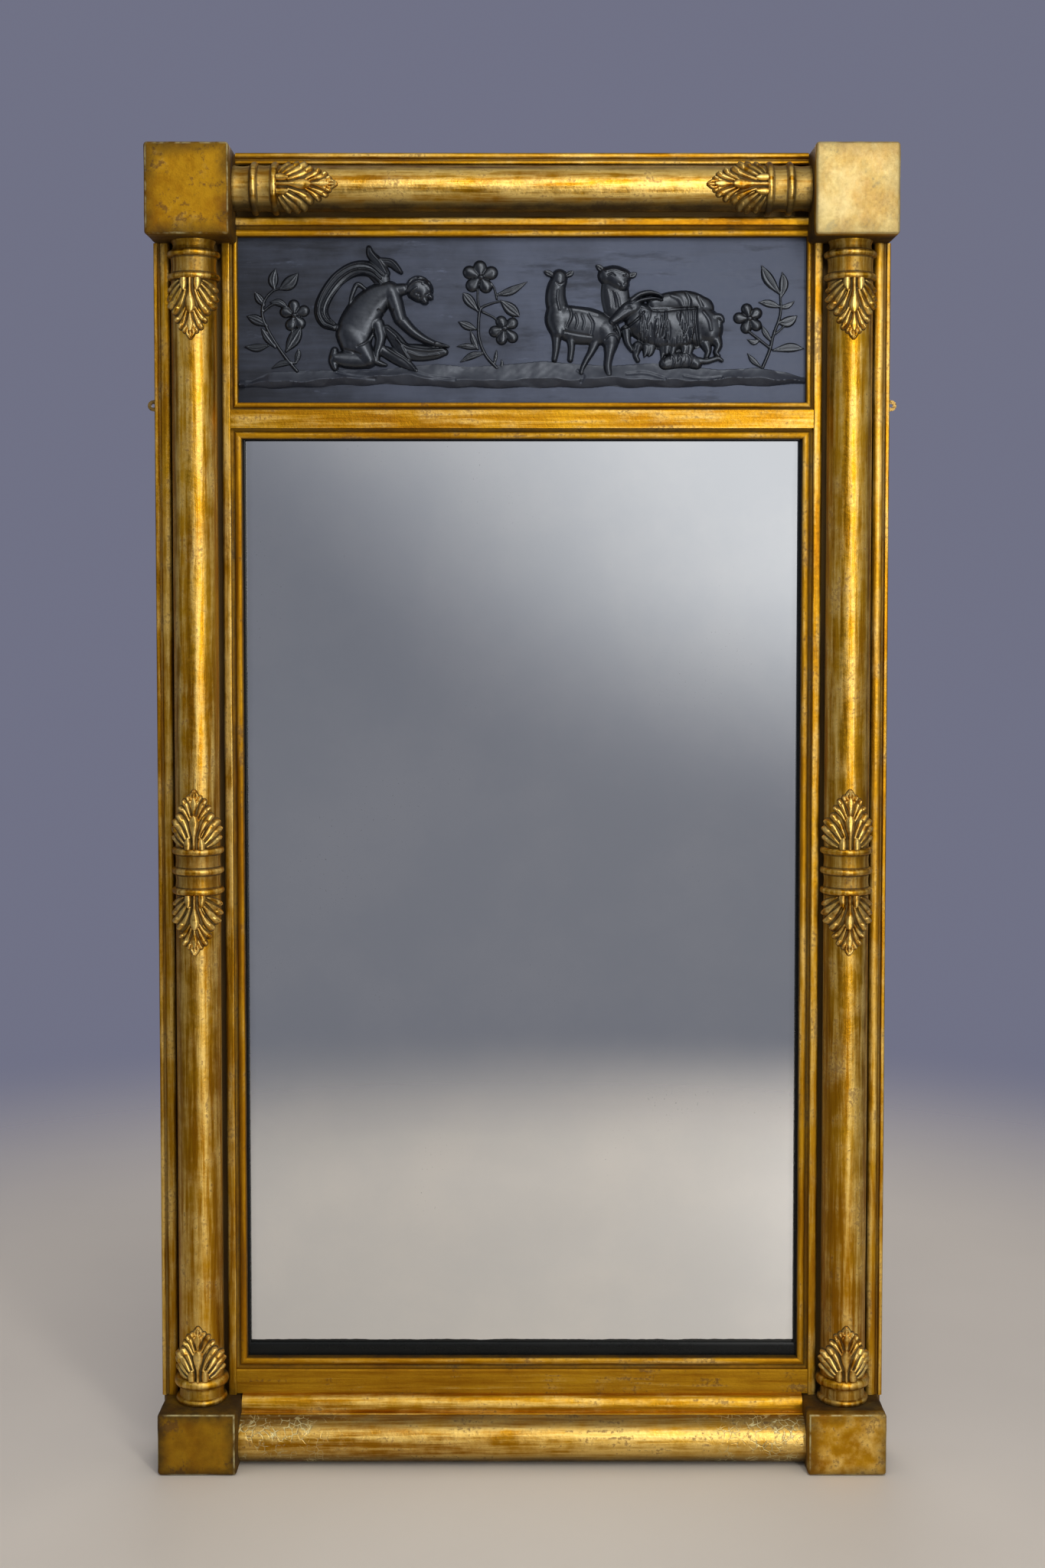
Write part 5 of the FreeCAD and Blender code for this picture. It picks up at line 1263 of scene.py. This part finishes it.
# the node each leaf stands for, its base, the way it grows and its length
sideLeaves = {"topLeaf": ("top_leaf", 1410, -1, 71), "middleUpperLeaf": ("middle_upper_leaf", 741.3, 1, 71),
              "middleLowerLeaf": ("middle_lower_leaf", 687.1, -1, 71), "footLeaf": ("foot_leaf", 104.95, 1, 66)}
railLeaf = {"base": 285.7, "length": 71}
for side, hand in hands:
    middle = side * columnLook["x"]
    for name, (stands, base, way, length) in sideLeaves.items():
        def spread(turned, along, out):
            return np.stack([middle + out * np.sin(turned), columnLook["y"] - out * np.cos(turned),
                             base + way * along], axis=-1)

        leafPiece(name + "." + hand, length, spread, 0, middle, stands + "_" + hand, giltLeaf)

    def spread(turned, along, out):
        return np.stack([side * (railLeaf["base"] - along), columnLook["y"] - out * np.cos(turned),
                         columnLook["topZ"] + out * np.sin(turned)], axis=-1)

    leafPiece("railLeaf." + hand, railLeaf["length"], spread, 2, columnLook["topZ"], "rail_leaf_" + hand, giltRailLeaf)
print("leaves carved")

# CAD pieces that stay, each with its own finish
kept = {
    "mirror_plate": silveredGlass, "frieze_panel": panelBlack, "frieze_rail": giltLevel,
    "stile_left": pineFinish("leftStilePine", "up", True, (3, 0, 4)),
    "stile_right": pineFinish("rightStilePine", "up", True, (12, 0, 1)),
    "top_rail": pineFinish("topRailPine", "wide", True, (5, 0, 8)),
    "bottom_rail": pineFinish("bottomRailPine", "wide", True, (21, 0, 3)),
    "plate_backboard_left": pineFinish("leftBoardPine", "up", False, (34, 0, 6)),
    "plate_backboard_right": pineFinish("rightBoardPine", "up", False, (7, 0, 2)),
    "frieze_backboard": pineFinish("friezeBoardPine", "wide", False, (16, 0, 9)),
    "plate_wedges": pineFinish("wedgePine", "up", False, (18, 0, 5)),
    "wall_plate_left": brass, "wall_plate_right": brass, "brass_screws": brass, "steel_screws": steel,
}
for name, material in kept.items():
    nodes[name].data.materials.clear()
    nodes[name].data.materials.append(material)

# Room
roomLook = {
    "floor": (0.60, 0.54, 0.46), "floorWide": 4.0, "floorLow": -0.0005, "fade": (1.0, 2.4),
    "front": (0.155, 0.162, 0.195), "upper": (0.76, 0.77, 0.79), "low": (0.185, 0.19, 0.22),
    "rear": (0.162, 0.167, 0.236), "glow": (0.35, -0.75, 0.62), "glowColour": (0.85, 0.87, 0.90),
}
bpy.ops.object.select_all(action="DESELECT")
bpy.ops.mesh.primitive_circle_add(vertices=96, radius=roomLook["floorWide"], fill_type="NGON",
                                  location=(0, 0, roomLook["floorLow"]))
bpy.ops.object.transform_apply(location=True)
floor = startPiece("floor")
material, make, place = newFinish("paleFloor")
mottle = make.between(make.noise(place, 3.0, 4.0, 0.5), 0.3, 0.7)
colour = make.mix(mottle, tuple(value * 0.97 for value in roomLook["floor"]), roomLook["floor"])
seen = make.between(make.vector("LENGTH", place, {}, 1), *roomLook["fade"], 1.0, 0.0)
make.surface({"Base Color": colour, "Roughness": 0.6, "Alpha": seen})
floor.data.materials.append(material)

world = bpy.data.worlds.new("studio")
bpy.context.scene.world = world
world.use_nodes = True
make = Finish(world.node_tree)
way = make.node("ShaderNodeTexCoord", out="Generated")
height = make.axis(way, 2)
upper = make.between(make.axis(way, 0) * 1.1 + height, -0.12, 0.20)
colour = make.mix(upper, roomLook["front"], roomLook["upper"])
colour = make.mix(make.between(height, 0.02, -0.12), colour, roomLook["low"])
colour = make.mix(make.between(make.axis(way, 1), -0.25, 0.35), colour, roomLook["rear"])
toward = make.vector("DOT_PRODUCT", way, {1: tuple(Vector(roomLook["glow"]).normalized())}, 1)
colour = make.mix(make.most(toward, 0.0) ** 6.0 * 0.45, colour, roomLook["glowColour"])
back = make.node("ShaderNodeBackground", {}, {"Color": colour, "Strength": 1.0})
make.node("ShaderNodeOutputWorld", {}, {"Surface": back})

# spot, aim, size, watts and tint
lamps = {
    "key": ((0.25, -1.65, 2.15), (0.0, 0.0, 0.9), (0.9, 0.7), 12, (1.0, 0.975, 0.94)),
    "strip": ((0.92, -2.2, 1.1), (-0.1, 0.0, 0.8), (0.36, 1.9), 25, (1.0, 0.98, 0.95)),
    "fill": ((-2.2, -1.2, 1.4), (0.0, 0.0, 0.8), (1.2, 1.6), 4, (0.92, 0.96, 1.0)),
    "rear": ((0.0, 2.5, 2.2), (0.0, 0.0, 0.8), (1.6, 1.2), 22, (1.0, 0.98, 0.95)),
}
for name, (spot, aim, size, power, tint) in lamps.items():
    bpy.ops.object.light_add(type="AREA", location=spot)
    lamp = bpy.context.object
    lamp.name = name
    lamp.rotation_euler = (Vector(aim) - Vector(spot)).to_track_quat("-Z", "Y").to_euler()
    lamp.data.shape = "RECTANGLE"
    lamp.data.size, lamp.data.size_y = size
    lamp.data.energy = power
    lamp.data.color = tint

cameraLook = {"lens": 46.28, "spot": (0.0005, -2.392, 1.04), "tilt": 87.4, "shift": -0.0615}
bpy.ops.object.camera_add(location=cameraLook["spot"], rotation=(radians(cameraLook["tilt"]), 0, 0))
camera = bpy.context.object
camera.data.lens = cameraLook["lens"]
camera.data.shift_y = cameraLook["shift"]
bpy.context.scene.camera = camera
bpy.context.scene.view_settings.view_transform = "Standard"
print("room lit")
